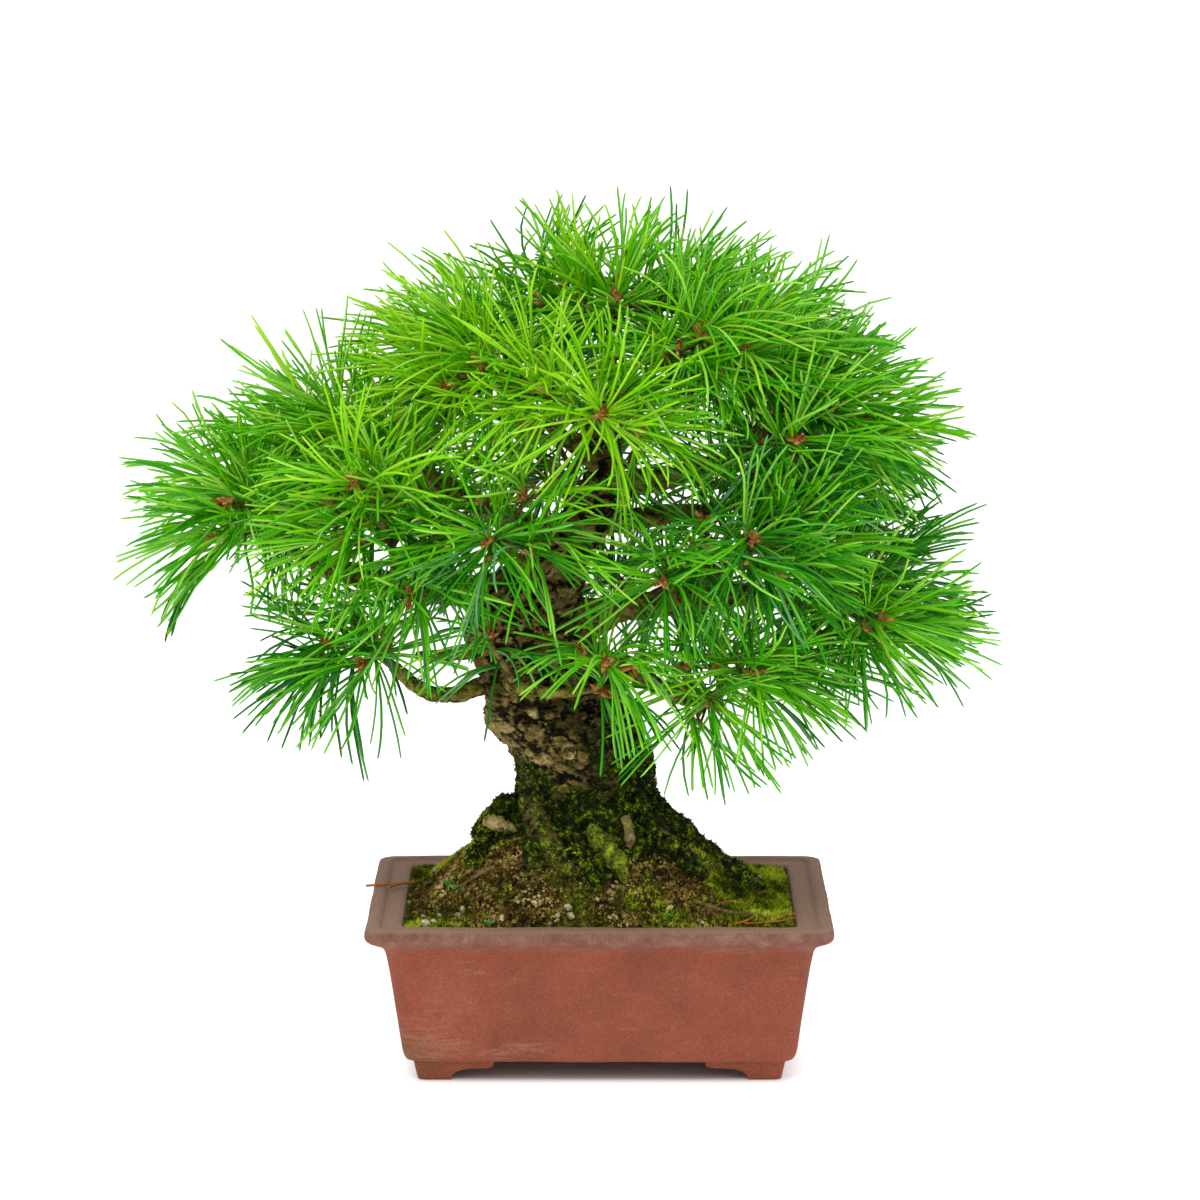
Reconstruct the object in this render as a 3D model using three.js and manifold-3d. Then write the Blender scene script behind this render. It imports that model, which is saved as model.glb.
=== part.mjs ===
// A white pine bonsai in a shallow rectangular clay pot, as a three.js scene graph.
// Millimetres, +Z up. The pot's length runs along X and the tree's front faces -Y.
// Every size is measured from the table, under the middle of the pot. The finished
// group is then moved level, so that its origin is under the middle of the whole.

import * as THREE from "three";
import { mergeVertices } from "three/addons/utils/BufferGeometryUtils.js";
import Module from "manifold-3d";

const wasm = await Module();
wasm.setup();

// Driving dimensions
const GAP = 0.3; // clearance between neighbouring pieces
const POT = { length: 200, width: 150, floor: 17 };
const FOOT = { height: 8.5, inset: 19.8, batter: 1.8, pad: 14.5, reach: 35, wall: 10 };
const DRAIN = { radius: 7, from_middle: 45, sides: 24 };
const SOIL = { edge: 67.6, rise: 2.4, mound: 31, half_x: 75, half_y: 55, x: -4, y: 2 };
const TRUNK_CUT = 74; // the height at which the trunk is cut flat, in the soil
const NEEDLE = 52; // the longest sprays, from the shoot to their tips
const CORE = 3; // the half thickness of a shoot where its needles leave it
const TWIG = 1.25; // the half thickness of a twig
const HEART = { x: -10, y: 0, z: 212, pull: 0.6, lift: 0.3 }; // what the shoots grow away from

const COLOURS = {
  clay: { color: "#985944", roughness: 0.72 },
  moss: { color: "#484d14", roughness: 1 },
  bark: { color: "#5d5434", roughness: 0.95 },
  needles: { color: "#46920f", roughness: 0.5 },
};

// Pot profile, from the underside out, up, over the rim and down to the floor:
// how far in from the rim's outline, how high, and the corner's radius.
const POT_PROFILE = [
  [19, 8.5, 6],
  [16.6, 9.4, 7],
  [15.2, 12.5, 8],
  [14.4, 18, 8.5],
  [9, 55, 9],
  [8.2, 58.4, 9],
  [6.8, 60.6, 9],
  [4.4, 62.3, 8.5],
  [1.6, 63.8, 8],
  [0.2, 65.4, 7.5],
  [0, 67.5, 7],
  [0.3, 69.3, 7],
  [1.3, 70, 7],
  [6, 70, 6],
  [6.8, 69.2, 5.5],
  [14.8, 68.9, 3.4],
  [15.6, 68, 3.2],
  [20, 58, 4],
  [26, 21, 5],
  [29, POT.floor, 5],
];
const INNER_WALL = 16; // the profile's first point on the inside wall

// The foot's height above the table and how much of its reach each leg has there.
const FOOT_ARCH = [
  [0, 0],
  [1.6, 0.03],
  [3.2, 0.12],
  [4.4, 0.27],
  [5.1, 0.5],
  [5.2, 0.78],
  [FOOT.height, 1],
];

// The trunk's middle line and its half thickness, from the flat cut to the tip.
const TRUNK = [
  [-6, 0, TRUNK_CUT, 38],
  [-6, 0, 88, 35.5],
  [-6, 0, 102, 32.5],
  [-6, 1, 116, 30],
  [-7, 2, 131, 29.5],
  [-17, 3, 146, 32],
  [-20, 4, 158, 29.5],
  [-26, 5, 172, 27],
  [-31, 6, 186, 25.5],
  [-31, 7, 201, 22.5],
  [-20, 6, 218, 16.5],
  [-7, 3, 235, 12],
  [1, 0, 250, 9.5],
  [2.5, -3, 266, 7],
  [2, -4, 283, 5],
  [3.5, -2, 299, 3.8],
  [4.5, 0, 314, 2.8],
];
const TRUNK_SIDES = 22;
const TRUNK_RINGS = 24;

// Roots on the surface: bearing in degrees, how far they swell out at the cut, how high
// they leave the trunk, how wide they are in degrees, and how full their back is.
const ROOTS = [
  { bearing: 184, reach: 21, top: 120, spread: 22, fullness: 0.45 },
  { bearing: -3, reach: 41, top: 118, spread: 17, fullness: 1.15 },
  { bearing: -40, reach: 12, top: 112, spread: 13, fullness: 0.8 },
  { bearing: -76, reach: 9, top: 118, spread: 11, fullness: 0.8 },
  { bearing: -124, reach: 12, top: 126, spread: 14, fullness: 0.7 },
  { bearing: 46, reach: 15, top: 116, spread: 17, fullness: 0.8 },
  { bearing: 116, reach: 14, top: 120, spread: 18, fullness: 0.8 },
];

// Old knots on the trunk: bearing in degrees, height, half width and how far they stand out.
const KNOTS = [
  { bearing: -78, height: 137, size: 9, rise: 4.5 },
  { bearing: -140, height: 163, size: 11, rise: 4 },
  { bearing: 30, height: 150, size: 12, rise: 3.5 },
  { bearing: 200, height: 185, size: 12, rise: 3.5 },
  { bearing: -35, height: 176, size: 10, rise: 3 },
  { bearing: 95, height: 160, size: 13, rise: 4 },
];

// Boughs: the limb that each grows from, its half thickness at both ends and its middle line.
const BOUGHS = {
  low_left: {
    from: "trunk",
    radius: [3.6, 2.6],
    line: [[-36, 1, 167], [-50, -3, 164], [-61, -8, 161], [-72, -12, 161.6], [-82, -15, 168], [-89, -18, 174.5]],
  },
  low_left_loop: {
    from: "trunk",
    radius: [3.6, 1.8],
    line: [[-38, 2, 180], [-56, -5, 178.5], [-68, -9, 177.3], [-79, -12, 178]],
  },
  left: {
    from: "trunk",
    radius: [7.2, 3.6],
    line: [[-30, 6, 203], [-57, 3, 204], [-80, 1, 205.5], [-97, -1, 209], [-113, -3, 214], [-127, -5, 219.5]],
  },
  left_front: {
    from: "left",
    radius: [3.6, 2.3],
    line: [[-80, 1, 205.5], [-85, -18, 213], [-87, -34, 222]],
  },
  left_back: {
    from: "trunk",
    radius: [5.6, 3],
    line: [[-31, 7, 192], [-60, 24, 200], [-76, 36, 210], [-84, 40, 220]],
  },
  left_upper: {
    from: "trunk",
    radius: [5.4, 3],
    line: [[-16, 5, 224], [-44, 2, 238], [-66, -2, 250], [-82, -5, 257]],
  },
  upper_left_front: {
    from: "trunk",
    radius: [3.8, 2.3],
    line: [[2, -2, 260], [-14, -12, 272], [-27, -19, 283]],
  },
  upper_left_back: {
    from: "trunk",
    radius: [3.6, 2.3],
    line: [[2, -3, 272], [-12, 10, 281], [-27, 19, 288]],
  },
  right_upper: {
    from: "trunk",
    radius: [5, 2.8],
    line: [[0, 1, 248], [28, -2, 254], [48, -6, 260], [64, -9, 266]],
  },
  right_top_front: {
    from: "trunk",
    radius: [3.2, 2.1],
    line: [[2, -4, 284], [20, -14, 289], [33, -20, 292]],
  },
  right_top_back: {
    from: "trunk",
    radius: [3.2, 2.1],
    line: [[3, -3, 290], [20, 11, 292], [35, 20, 294]],
  },
  right: {
    from: "trunk",
    radius: [6.4, 3.4],
    line: [[-24, 6, 190], [2, 5, 195], [26, 3, 198], [52, 3, 202], [74, 3, 201], [88, 3, 199]],
  },
  right_front: {
    from: "right",
    radius: [3.6, 2.3],
    line: [[28, 3, 198.5], [38, -17, 207], [47, -33, 216]],
  },
  right_back: {
    from: "trunk",
    radius: [5, 2.8],
    line: [[-10, 4, 231], [12, 17, 233], [36, 30, 234], [54, 38, 235]],
  },
  low_right: {
    from: "trunk",
    radius: [5, 2.7],
    line: [[-16, -2, 178], [8, -13, 174], [24, -22, 167], [37, -29, 162]],
  },
  front_low: {
    from: "trunk",
    radius: [3.1, 1.8],
    line: [[-36, -10, 169], [-37, -31, 169], [-22, -39, 167], [-8, -42, 168]],
  },
  front: {
    from: "trunk",
    radius: [4.6, 2.6],
    line: [[-27, 5, 208], [-32, -20, 216], [-37, -42, 226]],
  },
  front_high: {
    from: "trunk",
    radius: [3.4, 2.2],
    line: [[2, -4, 275], [2, -24, 279], [0, -40, 282]],
  },
  back: {
    from: "trunk",
    radius: [5.6, 3],
    line: [[-26, 6, 210], [-22, 28, 219], [-16, 44, 228]],
  },
  back_low: {
    from: "trunk",
    radius: [4.8, 2.6],
    line: [[-24, 6, 178], [-6, 30, 181], [6, 42, 184]],
  },
};

// Masses of needles: the limb whose tip carries each, the middle and the half sizes of where
// its shoots stand, how many shoots it is given, and the places of the shoots that lead it.
const MASSES = {
  apex: { on: "trunk", middle: [8, 0, 328], half: [34, 30, 9], shoots: 9, leads: [[6, -28, 334], [-24, 4, 329]] },
  top_left_front: { on: "upper_left_front", middle: [-44, -30, 301], half: [30, 24, 12], shoots: 8, leads: [] },
  top_left_back: { on: "upper_left_back", middle: [-46, 32, 303], half: [30, 26, 12], shoots: 8, leads: [] },
  top_right_front: {
    on: "right_top_front",
    middle: [51, -29, 308],
    half: [30, 23, 12],
    shoots: 8,
    leads: [[43, -48, 322]],
  },
  top_right_back: { on: "right_top_back", middle: [53, 31, 309], half: [30, 26, 12], shoots: 7, leads: [] },
  left_upper: { on: "left_upper", middle: [-104, -6, 270], half: [32, 34, 14], shoots: 10, leads: [[-134, -6, 270]] },
  left_far: {
    on: "left",
    middle: [-143, -8, 236],
    half: [22, 36, 17],
    shoots: 8,
    leads: [[-157, -46, 250], [-163, -34, 234], [-160, 12, 251]],
  },
  left_mid_front: {
    on: "left_front",
    middle: [-90, -56, 240],
    half: [28, 20, 22],
    shoots: 7,
    leads: [[-102, -78, 263], [-79, -82, 216]],
  },
  left_mid_back: { on: "left_back", middle: [-98, 50, 236], half: [32, 28, 20], shoots: 8, leads: [] },
  low_left: { on: "low_left", middle: [-104, -22, 185], half: [16, 34, 10], shoots: 8, leads: [[-99, -56, 183]] },
  front: { on: "front", middle: [-42, -62, 238], half: [26, 18, 20], shoots: 7, leads: [[-46, -86, 240]] },
  front_high: {
    on: "front_high",
    middle: [-4, -58, 288],
    half: [26, 18, 11],
    shoots: 6,
    leads: [[1, -84, 293], [-24, -72, 302]],
  },
  right_upper: { on: "right_upper", middle: [87, -10, 277], half: [28, 36, 17], shoots: 11, leads: [[82, -56, 278]] },
  right_mid: {
    on: "right_front",
    middle: [62, -54, 232],
    half: [30, 20, 18],
    shoots: 8,
    leads: [[63, -82, 240], [27, -76, 222]],
  },
  right_far: {
    on: "right",
    middle: [107, 2, 196],
    half: [24, 42, 20],
    shoots: 11,
    leads: [[119, -48, 201], [126, 6, 215]],
  },
  low_right: {
    on: "low_right",
    middle: [58, -46, 174],
    half: [27, 20, 11],
    shoots: 8,
    leads: [[47, -64, 167], [65, -66, 180]],
  },
  right_back: { on: "right_back", middle: [76, 52, 242], half: [30, 26, 20], shoots: 8, leads: [] },
  back: { on: "back", middle: [-12, 66, 250], half: [30, 22, 20], shoots: 8, leads: [] },
  front_low: {
    on: "front_low",
    middle: [4, -60, 182],
    half: [18, 12, 10],
    shoots: 3,
    leads: [[2, -78, 187], [10, -60, 164]],
  },
  back_low: { on: "back_low", middle: [20, 62, 192], half: [36, 24, 15], shoots: 8, leads: [] },
};
const NEAREST_SHOOTS = 15; // shoots of a mass stand at least this far apart

const vec = (p) => new THREE.Vector3(p[0], p[1], p[2]);

function smooth(low, high, value) {
  const share = Math.min(1, Math.max(0, (value - low) / (high - low)));
  return share * share * (3 - 2 * share);
}

// Numbers from 0 to 1 that come out the same every time.
function seeded(seed) {
  let state = seed >>> 0;
  return () => {
    state = (Math.imul(state, 1664525) + 1013904223) >>> 0;
    return state / 4294967296;
  };
}

// A row of numbers on the smooth curve through rows, from the first at 0 to the last at 1.
function along(rows, share) {
  const spans = rows.length - 1;
  const span = Math.min(spans - 1, Math.floor(share * spans));
  const s = share * spans - span;
  const value = (i, k) => {
    if (i < 0) return 2 * rows[0][k] - rows[1][k];
    if (i > spans) return 2 * rows[spans][k] - rows[spans - 1][k];
    return rows[i][k];
  };
  return rows[0].map((_, k) => {
    const [a, b, c, d] = [span - 1, span, span + 1, span + 2].map((i) => value(i, k));
    const slope_in = (c - a) / 2;
    const slope_out = (d - b) / 2;
    const bend = 3 * (c - b) - 2 * slope_in - slope_out;
    const turn = 2 * (b - c) + slope_in + slope_out;
    return b + s * (slope_in + s * (bend + s * turn));
  });
}

// A closed surface through rings of points. Each end closes to a hub, the ring's middle or one given.
function loft(rings, hubs = [null, null]) {
  const count = rings[0].length;
  const points = rings.flat();
  const faces = [];
  for (let r = 0; r + 1 < rings.length; r++) {
    for (let i = 0; i < count; i++) {
      const a = r * count + i;
      const b = r * count + ((i + 1) % count);
      faces.push(a, b, b + count, a, b + count, a + count);
    }
  }
  for (const end of [0, 1]) {
    const ring = rings[end * (rings.length - 1)];
    const start = end * (rings.length - 1) * count;
    const middle = () => ring.reduce((sum, p) => sum.add(p), new THREE.Vector3()).divideScalar(count);
    const hub = points.push(hubs[end] ?? middle()) - 1;
    for (let i = 0; i < count; i++) {
      const a = start + i;
      const b = start + ((i + 1) % count);
      faces.push(hub, end === 1 ? a : b, end === 1 ? b : a);
    }
  }
  return new THREE.BufferGeometry().setFromPoints(points).setIndex(faces);
}

function toSolid(geometry) {
  const bare = new THREE.BufferGeometry().setAttribute("position", geometry.getAttribute("position"));
  if (geometry.index) bare.setIndex(geometry.index);
  const merged = mergeVertices(bare, 1e-4);
  return new wasm.Manifold(
    new wasm.Mesh({
      numProp: 3,
      vertProperties: Float32Array.from(merged.attributes.position.array),
      triVerts: Uint32Array.from(merged.index.array),
    }),
  );
}

// The largest body of a solid. Loose scraps that a cut leaves are dropped.
function toGeometry(solid, tolerance = 0.05) {
  const bodies = solid.simplify(tolerance).decompose().sort((a, b) => b.volume() - a.volume());
  const mesh = bodies[0].getMesh();
  const geometry = new THREE.BufferGeometry()
    .setAttribute("position", new THREE.BufferAttribute(Float32Array.from(mesh.vertProperties), 3))
    .setIndex(Array.from(mesh.triVerts));
  return weld(geometry);
}

// One vertex for each place, without the faces that this closes up.
function weld(geometry) {
  geometry.deleteAttribute("normal");
  geometry.deleteAttribute("uv");
  const welded = mergeVertices(geometry, 1e-3);
  const index = welded.index.array;
  const faces = [];
  for (let i = 0; i < index.length; i += 3) {
    const [a, b, c] = index.slice(i, i + 3);
    if (a !== b && b !== c && c !== a) faces.push(a, b, c);
  }
  return welded.setIndex(faces);
}

// A rounded rectangle at one height, so far inside the rim's outline.
function potRing([inset, height, corner], side_steps = 1) {
  const half_x = POT.length / 2 - inset - corner;
  const half_y = POT.width / 2 - inset - corner;
  const middles = [[half_x, half_y], [-half_x, half_y], [-half_x, -half_y], [half_x, -half_y]];
  const arc_steps = 3;
  const arcs = middles.map(([x, y], side) =>
    Array.from({ length: arc_steps + 1 }, (_, i) => {
      const angle = (side + i / arc_steps) * (Math.PI / 2);
      return new THREE.Vector3(x + corner * Math.cos(angle), y + corner * Math.sin(angle), height);
    }),
  );
  return arcs.flatMap((arc, side) => {
    const next = arcs[(side + 1) % 4][0];
    const sides = Array.from({ length: side_steps - 1 }, (_, i) =>
      arc[arc_steps].clone().lerp(next, (i + 1) / side_steps),
    );
    return [...arc, ...sides];
  });
}

function makePot() {
  let pot = toSolid(loft(POT_PROFILE.map((row) => potRing(row))));
  for (const side of [-1, 1]) {
    const hole = new THREE.CylinderGeometry(DRAIN.radius, DRAIN.radius, 40, DRAIN.sides);
    hole.rotateX(Math.PI / 2).translate(side * DRAIN.from_middle, 0, FOOT.height);
    pot = pot.subtract(toSolid(hole));
  }
  return toGeometry(pot);
}

// A bracket foot: two legs that run from the pot's corner and arch up to its underside.
function makeFoot(sx, sy) {
  const corner_x = POT.length / 2 - FOOT.inset;
  const corner_y = POT.width / 2 - FOOT.inset;
  const at = (x, y, height) => {
    const lean = FOOT.batter * (1 - height / FOOT.height);
    return new THREE.Vector3(sx * (corner_x - lean - x), sy * (corner_y - lean - y), height);
  };
  const rings = FOOT_ARCH.map(([height, share]) => {
    const leg = FOOT.pad + share * (FOOT.reach - FOOT.pad);
    const w = FOOT.wall;
    const outline = [[0, 3], [1, 1], [3, 0], [leg, 0], [leg, w], [w, w], [w, leg], [0, leg]];
    const ring = outline.map(([x, y]) => at(x, y, height));
    return sx * sy > 0 ? ring : ring.reverse();
  });
  const hubs = [at(5, 5, 0), at(5, 5, FOOT.height)];
  return loft(rings, hubs);
}

// The height of the ground at a place in the pot: level at the rim and a mound at the trunk.
function groundHeight(x, y) {
  const away = Math.hypot((x - SOIL.x) / SOIL.half_x, (y - SOIL.y) / SOIL.half_y);
  const mound = SOIL.mound * (1 - smooth(0.4, 1.15, away));
  const edge = Math.max(Math.abs(x) / (POT.length / 2 - 16), Math.abs(y) / (POT.width / 2 - 16));
  const ripple = 0.9 * Math.sin(0.11 * x + 1) * Math.cos(0.13 * y) + 0.6 * Math.sin(0.23 * y - 0.17 * x);
  return SOIL.edge + (SOIL.rise + ripple) * (1 - smooth(0.8, 1, edge)) + mound;
}

// Soil and moss as one body that fills the pot, with a socket for the foot of the trunk.
function makeSoil() {
  const side_steps = 5;
  const inside = POT_PROFILE.slice(INNER_WALL)
    .reverse()
    .map(([inset, height, corner]) => [inset + GAP * 1.2, height, corner]);
  inside[inside.length - 1][1] = SOIL.edge;
  const walls = inside.map((row) => potRing(row, side_steps));
  const edge = walls[walls.length - 1];
  const tops = [0.93, 0.83, 0.71, 0.58, 0.42].map((share) =>
    edge.map((p) => new THREE.Vector3(p.x * share, p.y * share, groundHeight(p.x * share, p.y * share))),
  );
  const hub = new THREE.Vector3(0, 0, groundHeight(0, 0));
  const soil = toSolid(loft([...walls, ...tops], [null, hub]));
  return toGeometry(soil.subtract(toSolid(trunkSurface(1.3 * GAP))));
}

// How far the trunk's surface is from its middle line at a height and bearing.
function trunkRadius(height, bearing, half) {
  const apart = (other) => Math.abs(((((bearing - other) % 360) + 540) % 360) - 180);
  let radius = half * (1 + 0.035 * Math.sin((3 * bearing * Math.PI) / 180 + height * 0.045));
  for (const root of ROOTS) {
    const down = Math.max(0, (root.top - height) / (root.top - TRUNK_CUT));
    radius += root.reach * down ** root.fullness * Math.exp(-((apart(root.bearing) / root.spread) ** 2));
  }
  for (const knot of KNOTS) {
    const across = (apart(knot.bearing) * Math.PI * half) / 180;
    radius += knot.rise * Math.exp(-(across ** 2 + (height - knot.height) ** 2) / knot.size ** 2);
  }
  return radius;
}

// The trunk's surface, or one that stands so far outside it.
function trunkSurface(extra = 0) {
  const rings = Array.from({ length: TRUNK_RINGS }, (_, r) => {
    const share = r / (TRUNK_RINGS - 1);
    const [x, y, z, half] = along(TRUNK, share);
    return Array.from({ length: TRUNK_SIDES }, (_, i) => {
      const bearing = (360 * i) / TRUNK_SIDES;
      const radius = trunkRadius(z, bearing, half) + extra;
      const angle = (bearing * Math.PI) / 180;
      return new THREE.Vector3(x + radius * Math.cos(angle), y + radius * Math.sin(angle), z);
    });
  });
  return loft(rings);
}

// A tube of a few sides whose half thickness goes from the first radius to the last.
function tube(points, radii, sides) {
  const last = points.length - 1;
  const first_way = points[1].clone().sub(points[0]).normalize();
  let side = Math.abs(first_way.z) > 0.9 ? new THREE.Vector3(1, 0, 0) : new THREE.Vector3(0, 0, 1);
  const rings = points.map((point, r) => {
    const ahead = points[Math.min(last, r + 1)].clone().sub(points[Math.max(0, r - 1)]).normalize();
    side = side.clone().addScaledVector(ahead, -side.dot(ahead)).normalize();
    const across = new THREE.Vector3().crossVectors(ahead, side);
    const radius = radii[0] + ((radii[1] - radii[0]) * r) / last;
    return Array.from({ length: sides }, (_, i) => {
      const angle = (2 * Math.PI * i) / sides;
      return point
        .clone()
        .addScaledVector(side, radius * Math.cos(angle))
        .addScaledVector(across, radius * Math.sin(angle));
    });
  });
  return loft(rings);
}

// A bough's middle line as evenly shared points.
function boughPoints(bough) {
  const steps = Math.ceil((bough.line.length - 1) * 1.4);
  return Array.from({ length: steps + 1 }, (_, i) => vec(along(bough.line, i / steps)));
}

function boughTube(bough, extra = 0) {
  return tube(boughPoints(bough), bough.radius.map((r) => r + extra), 5);
}

// A bough, cut to fit round the limb that carries it with a small clearance.
function makeBough(bough) {
  const room = 1.5 * GAP;
  const parent = bough.from === "trunk" ? trunkSurface(room) : boughTube(BOUGHS[bough.from], room);
  return toGeometry(toSolid(boughTube(bough)).subtract(toSolid(parent)));
}

// Every limb as short straight lengths with a half thickness, for keeping twigs clear of them.
function limbLengths() {
  const lengths = [];
  const add = (name, points, radius) => {
    const last = points.length - 1;
    for (let i = 0; i < last; i++) {
      const thick = Math.max(radius(i / last), radius((i + 1) / last));
      lengths.push({ name, a: points[i], b: points[i + 1], radius: thick });
    }
  };
  const rows = Array.from({ length: 33 }, (_, i) => along(TRUNK, i / 32));
  add("trunk", rows.map(vec), (share) => along(TRUNK, share)[3] * 1.08 + 1);
  for (const [name, bough] of Object.entries(BOUGHS)) {
    add(name, boughPoints(bough), (share) => bough.radius[0] + (bough.radius[1] - bough.radius[0]) * share);
  }
  return lengths;
}

// The least distance between two straight lengths.
function distanceBetween(a, b, c, d) {
  const first = b.clone().sub(a);
  const second = d.clone().sub(c);
  const between = a.clone().sub(c);
  const aa = first.dot(first);
  const bb = second.dot(second);
  const ab = first.dot(second);
  const at = first.dot(between);
  const bt = second.dot(between);
  const clamp = (value) => Math.min(1, Math.max(0, value));
  const spread = aa * bb - ab * ab;
  let s = spread > 1e-9 ? clamp((ab * bt - at * bb) / spread) : 0;
  const t = clamp((ab * s + bt) / bb);
  s = clamp((ab * t - at) / aa);
  const p = a.clone().addScaledVector(first, s);
  return p.distanceTo(c.clone().addScaledVector(second, t));
}

// Each mass keeps to the places that are nearer to its own middle than to any other's.
function inOwnSpace(name, point, margin) {
  const own = vec(MASSES[name].middle);
  return Object.entries(MASSES).every(([other, mass]) => {
    if (other === name) return true;
    const middle = vec(mass.middle);
    const across = middle.clone().sub(own);
    const halfway = own.clone().add(middle).multiplyScalar(0.5);
    return halfway.sub(point).dot(across) / across.length() > margin;
  });
}

// The end of the limb that carries a mass: its tip, its direction and its half thickness.
function limbTip(name) {
  if (name === "trunk") {
    const tip = vec(TRUNK[TRUNK.length - 1]);
    return { tip, ahead: new THREE.Vector3(0, 0, 1), radius: TRUNK[TRUNK.length - 1][3] };
  }
  const points = boughPoints(BOUGHS[name]);
  const tip = points[points.length - 1];
  const ahead = tip.clone().sub(points[points.length - 2]).normalize();
  return { tip, ahead, radius: BOUGHS[name].radius[1] };
}

// A point on the curve that leaves a towards b and comes to d from c.
function curve(a, b, c, d, t) {
  const u = 1 - t;
  return new THREE.Vector3()
    .addScaledVector(a, u * u * u)
    .addScaledVector(b, 3 * u * u * t)
    .addScaledVector(c, 3 * u * t * t)
    .addScaledVector(d, t * t * t);
}

// A mass's stem goes on from the limb's tip, just clear of it, to the middle of its shoots.
function stemOf(mass) {
  const { tip, ahead, radius } = limbTip(mass.on);
  const start = tip.clone().addScaledVector(ahead, GAP);
  const end = vec(mass.middle);
  const length = start.distanceTo(end);
  const lead = start.clone().addScaledVector(ahead, length * 0.4);
  const rise = end.clone().addScaledVector(end.clone().sub(tip).normalize(), -length * 0.3);
  return { ahead, at: (t) => curve(start, lead, rise, end, t), radius: radius * 0.85 };
}

// The way a shoot at this place points: away from the heart of the crown and a little up.
function shootDirection(place, along_twig) {
  const up = (place.z - HEART.z) * (1 - HEART.pull);
  const outward = new THREE.Vector3(place.x - HEART.x, place.y - HEART.y, up).normalize();
  const lift = new THREE.Vector3(0, 0, HEART.lift * smooth(190, 320, place.z));
  return outward.addScaledVector(along_twig, 0.5).add(lift).normalize();
}

// The twigs of a mass: each leaves the stem and curves to the place where its shoot stands.
function twigsOf(name) {
  const mass = MASSES[name];
  const random = seeded(Object.keys(MASSES).indexOf(name) * 7919 + 17);
  const stem = stemOf(mass);
  const middle = vec(mass.middle);
  const half = vec(mass.half);
  const places = mass.leads.map(vec);
  const turn = random() * 360;
  for (let i = 0; i < mass.shoots; i++) {
    const up = 1 - (1.55 * (i + 0.5)) / mass.shoots;
    const round = Math.sqrt(1 - up * up);
    const angle = ((turn + i * 137.508) * Math.PI) / 180;
    const reach = 0.82 + 0.24 * random();
    const way = new THREE.Vector3(round * Math.cos(angle), round * Math.sin(angle), up).multiply(half);
    const place = [1, 0.87, 0.74, 0.61]
      .map((share) => middle.clone().addScaledVector(way, reach * share))
      .find((point) => inOwnSpace(name, point, 4));
    if (place && places.every((other) => other.distanceTo(place) >= NEAREST_SHOOTS)) places.push(place);
  }
  const onward = stem.at(1).sub(stem.at(0)).normalize();
  const in_turn = [...places].sort((a, b) => a.dot(onward) - b.dot(onward));
  return places.map((place) => {
    const middle_line = stem.at(0.25 + (0.75 * (in_turn.indexOf(place) + 0.5)) / places.length);
    const start = middle_line.clone().lerp(place, 0.7 / middle_line.distanceTo(place));
    const span = place.clone().sub(start);
    const length = span.length();
    const ahead = shootDirection(place, span.clone().normalize());
    const bend = start.clone().addScaledVector(span, 0.3).add(new THREE.Vector3(0, 0, length * 0.06));
    const close = place.clone().addScaledVector(ahead, -length * 0.32);
    return { place, ahead, start, bend, close, at: (t) => curve(start, bend, close, place, t) };
  });
}

// Twenty directions' worth of faces round a shoot, drawn forward so that needles sweep along it.
function shootFaces() {
  const solid = new THREE.IcosahedronGeometry(1, 0);
  const position = solid.getAttribute("position");
  const corner = (i) => new THREE.Vector3().fromBufferAttribute(position, i);
  const rear = corner(0).add(corner(1)).add(corner(2)).normalize();
  const turn = new THREE.Quaternion().setFromUnitVectors(rear, new THREE.Vector3(0, 0, -1));
  const forward = (p) => {
    const angle = Math.acos(Math.min(1, Math.max(-1, p.z)));
    const drawn = Math.PI * (angle / Math.PI) ** 1.3;
    const flat = Math.hypot(p.x, p.y);
    const side = flat > 1e-6 ? Math.sin(drawn) / flat : 0;
    return new THREE.Vector3(p.x * side, p.y * side, Math.cos(drawn));
  };
  return Array.from({ length: position.count / 3 }, (_, f) =>
    [0, 1, 2].map((k) => forward(corner(3 * f + k).applyQuaternion(turn))),
  );
}
const SHOOT_FACES = shootFaces();

// A frame at a shoot whose third axis is the way the shoot points.
function shootFrame(ahead, roll) {
  const up = Math.abs(ahead.z) > 0.9 ? new THREE.Vector3(1, 0, 0) : new THREE.Vector3(0, 0, 1);
  const side = up.cross(ahead).normalize().applyAxisAngle(ahead, roll);
  const across = new THREE.Vector3().crossVectors(ahead, side);
  return new THREE.Matrix4().makeBasis(side, across, ahead);
}

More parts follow.
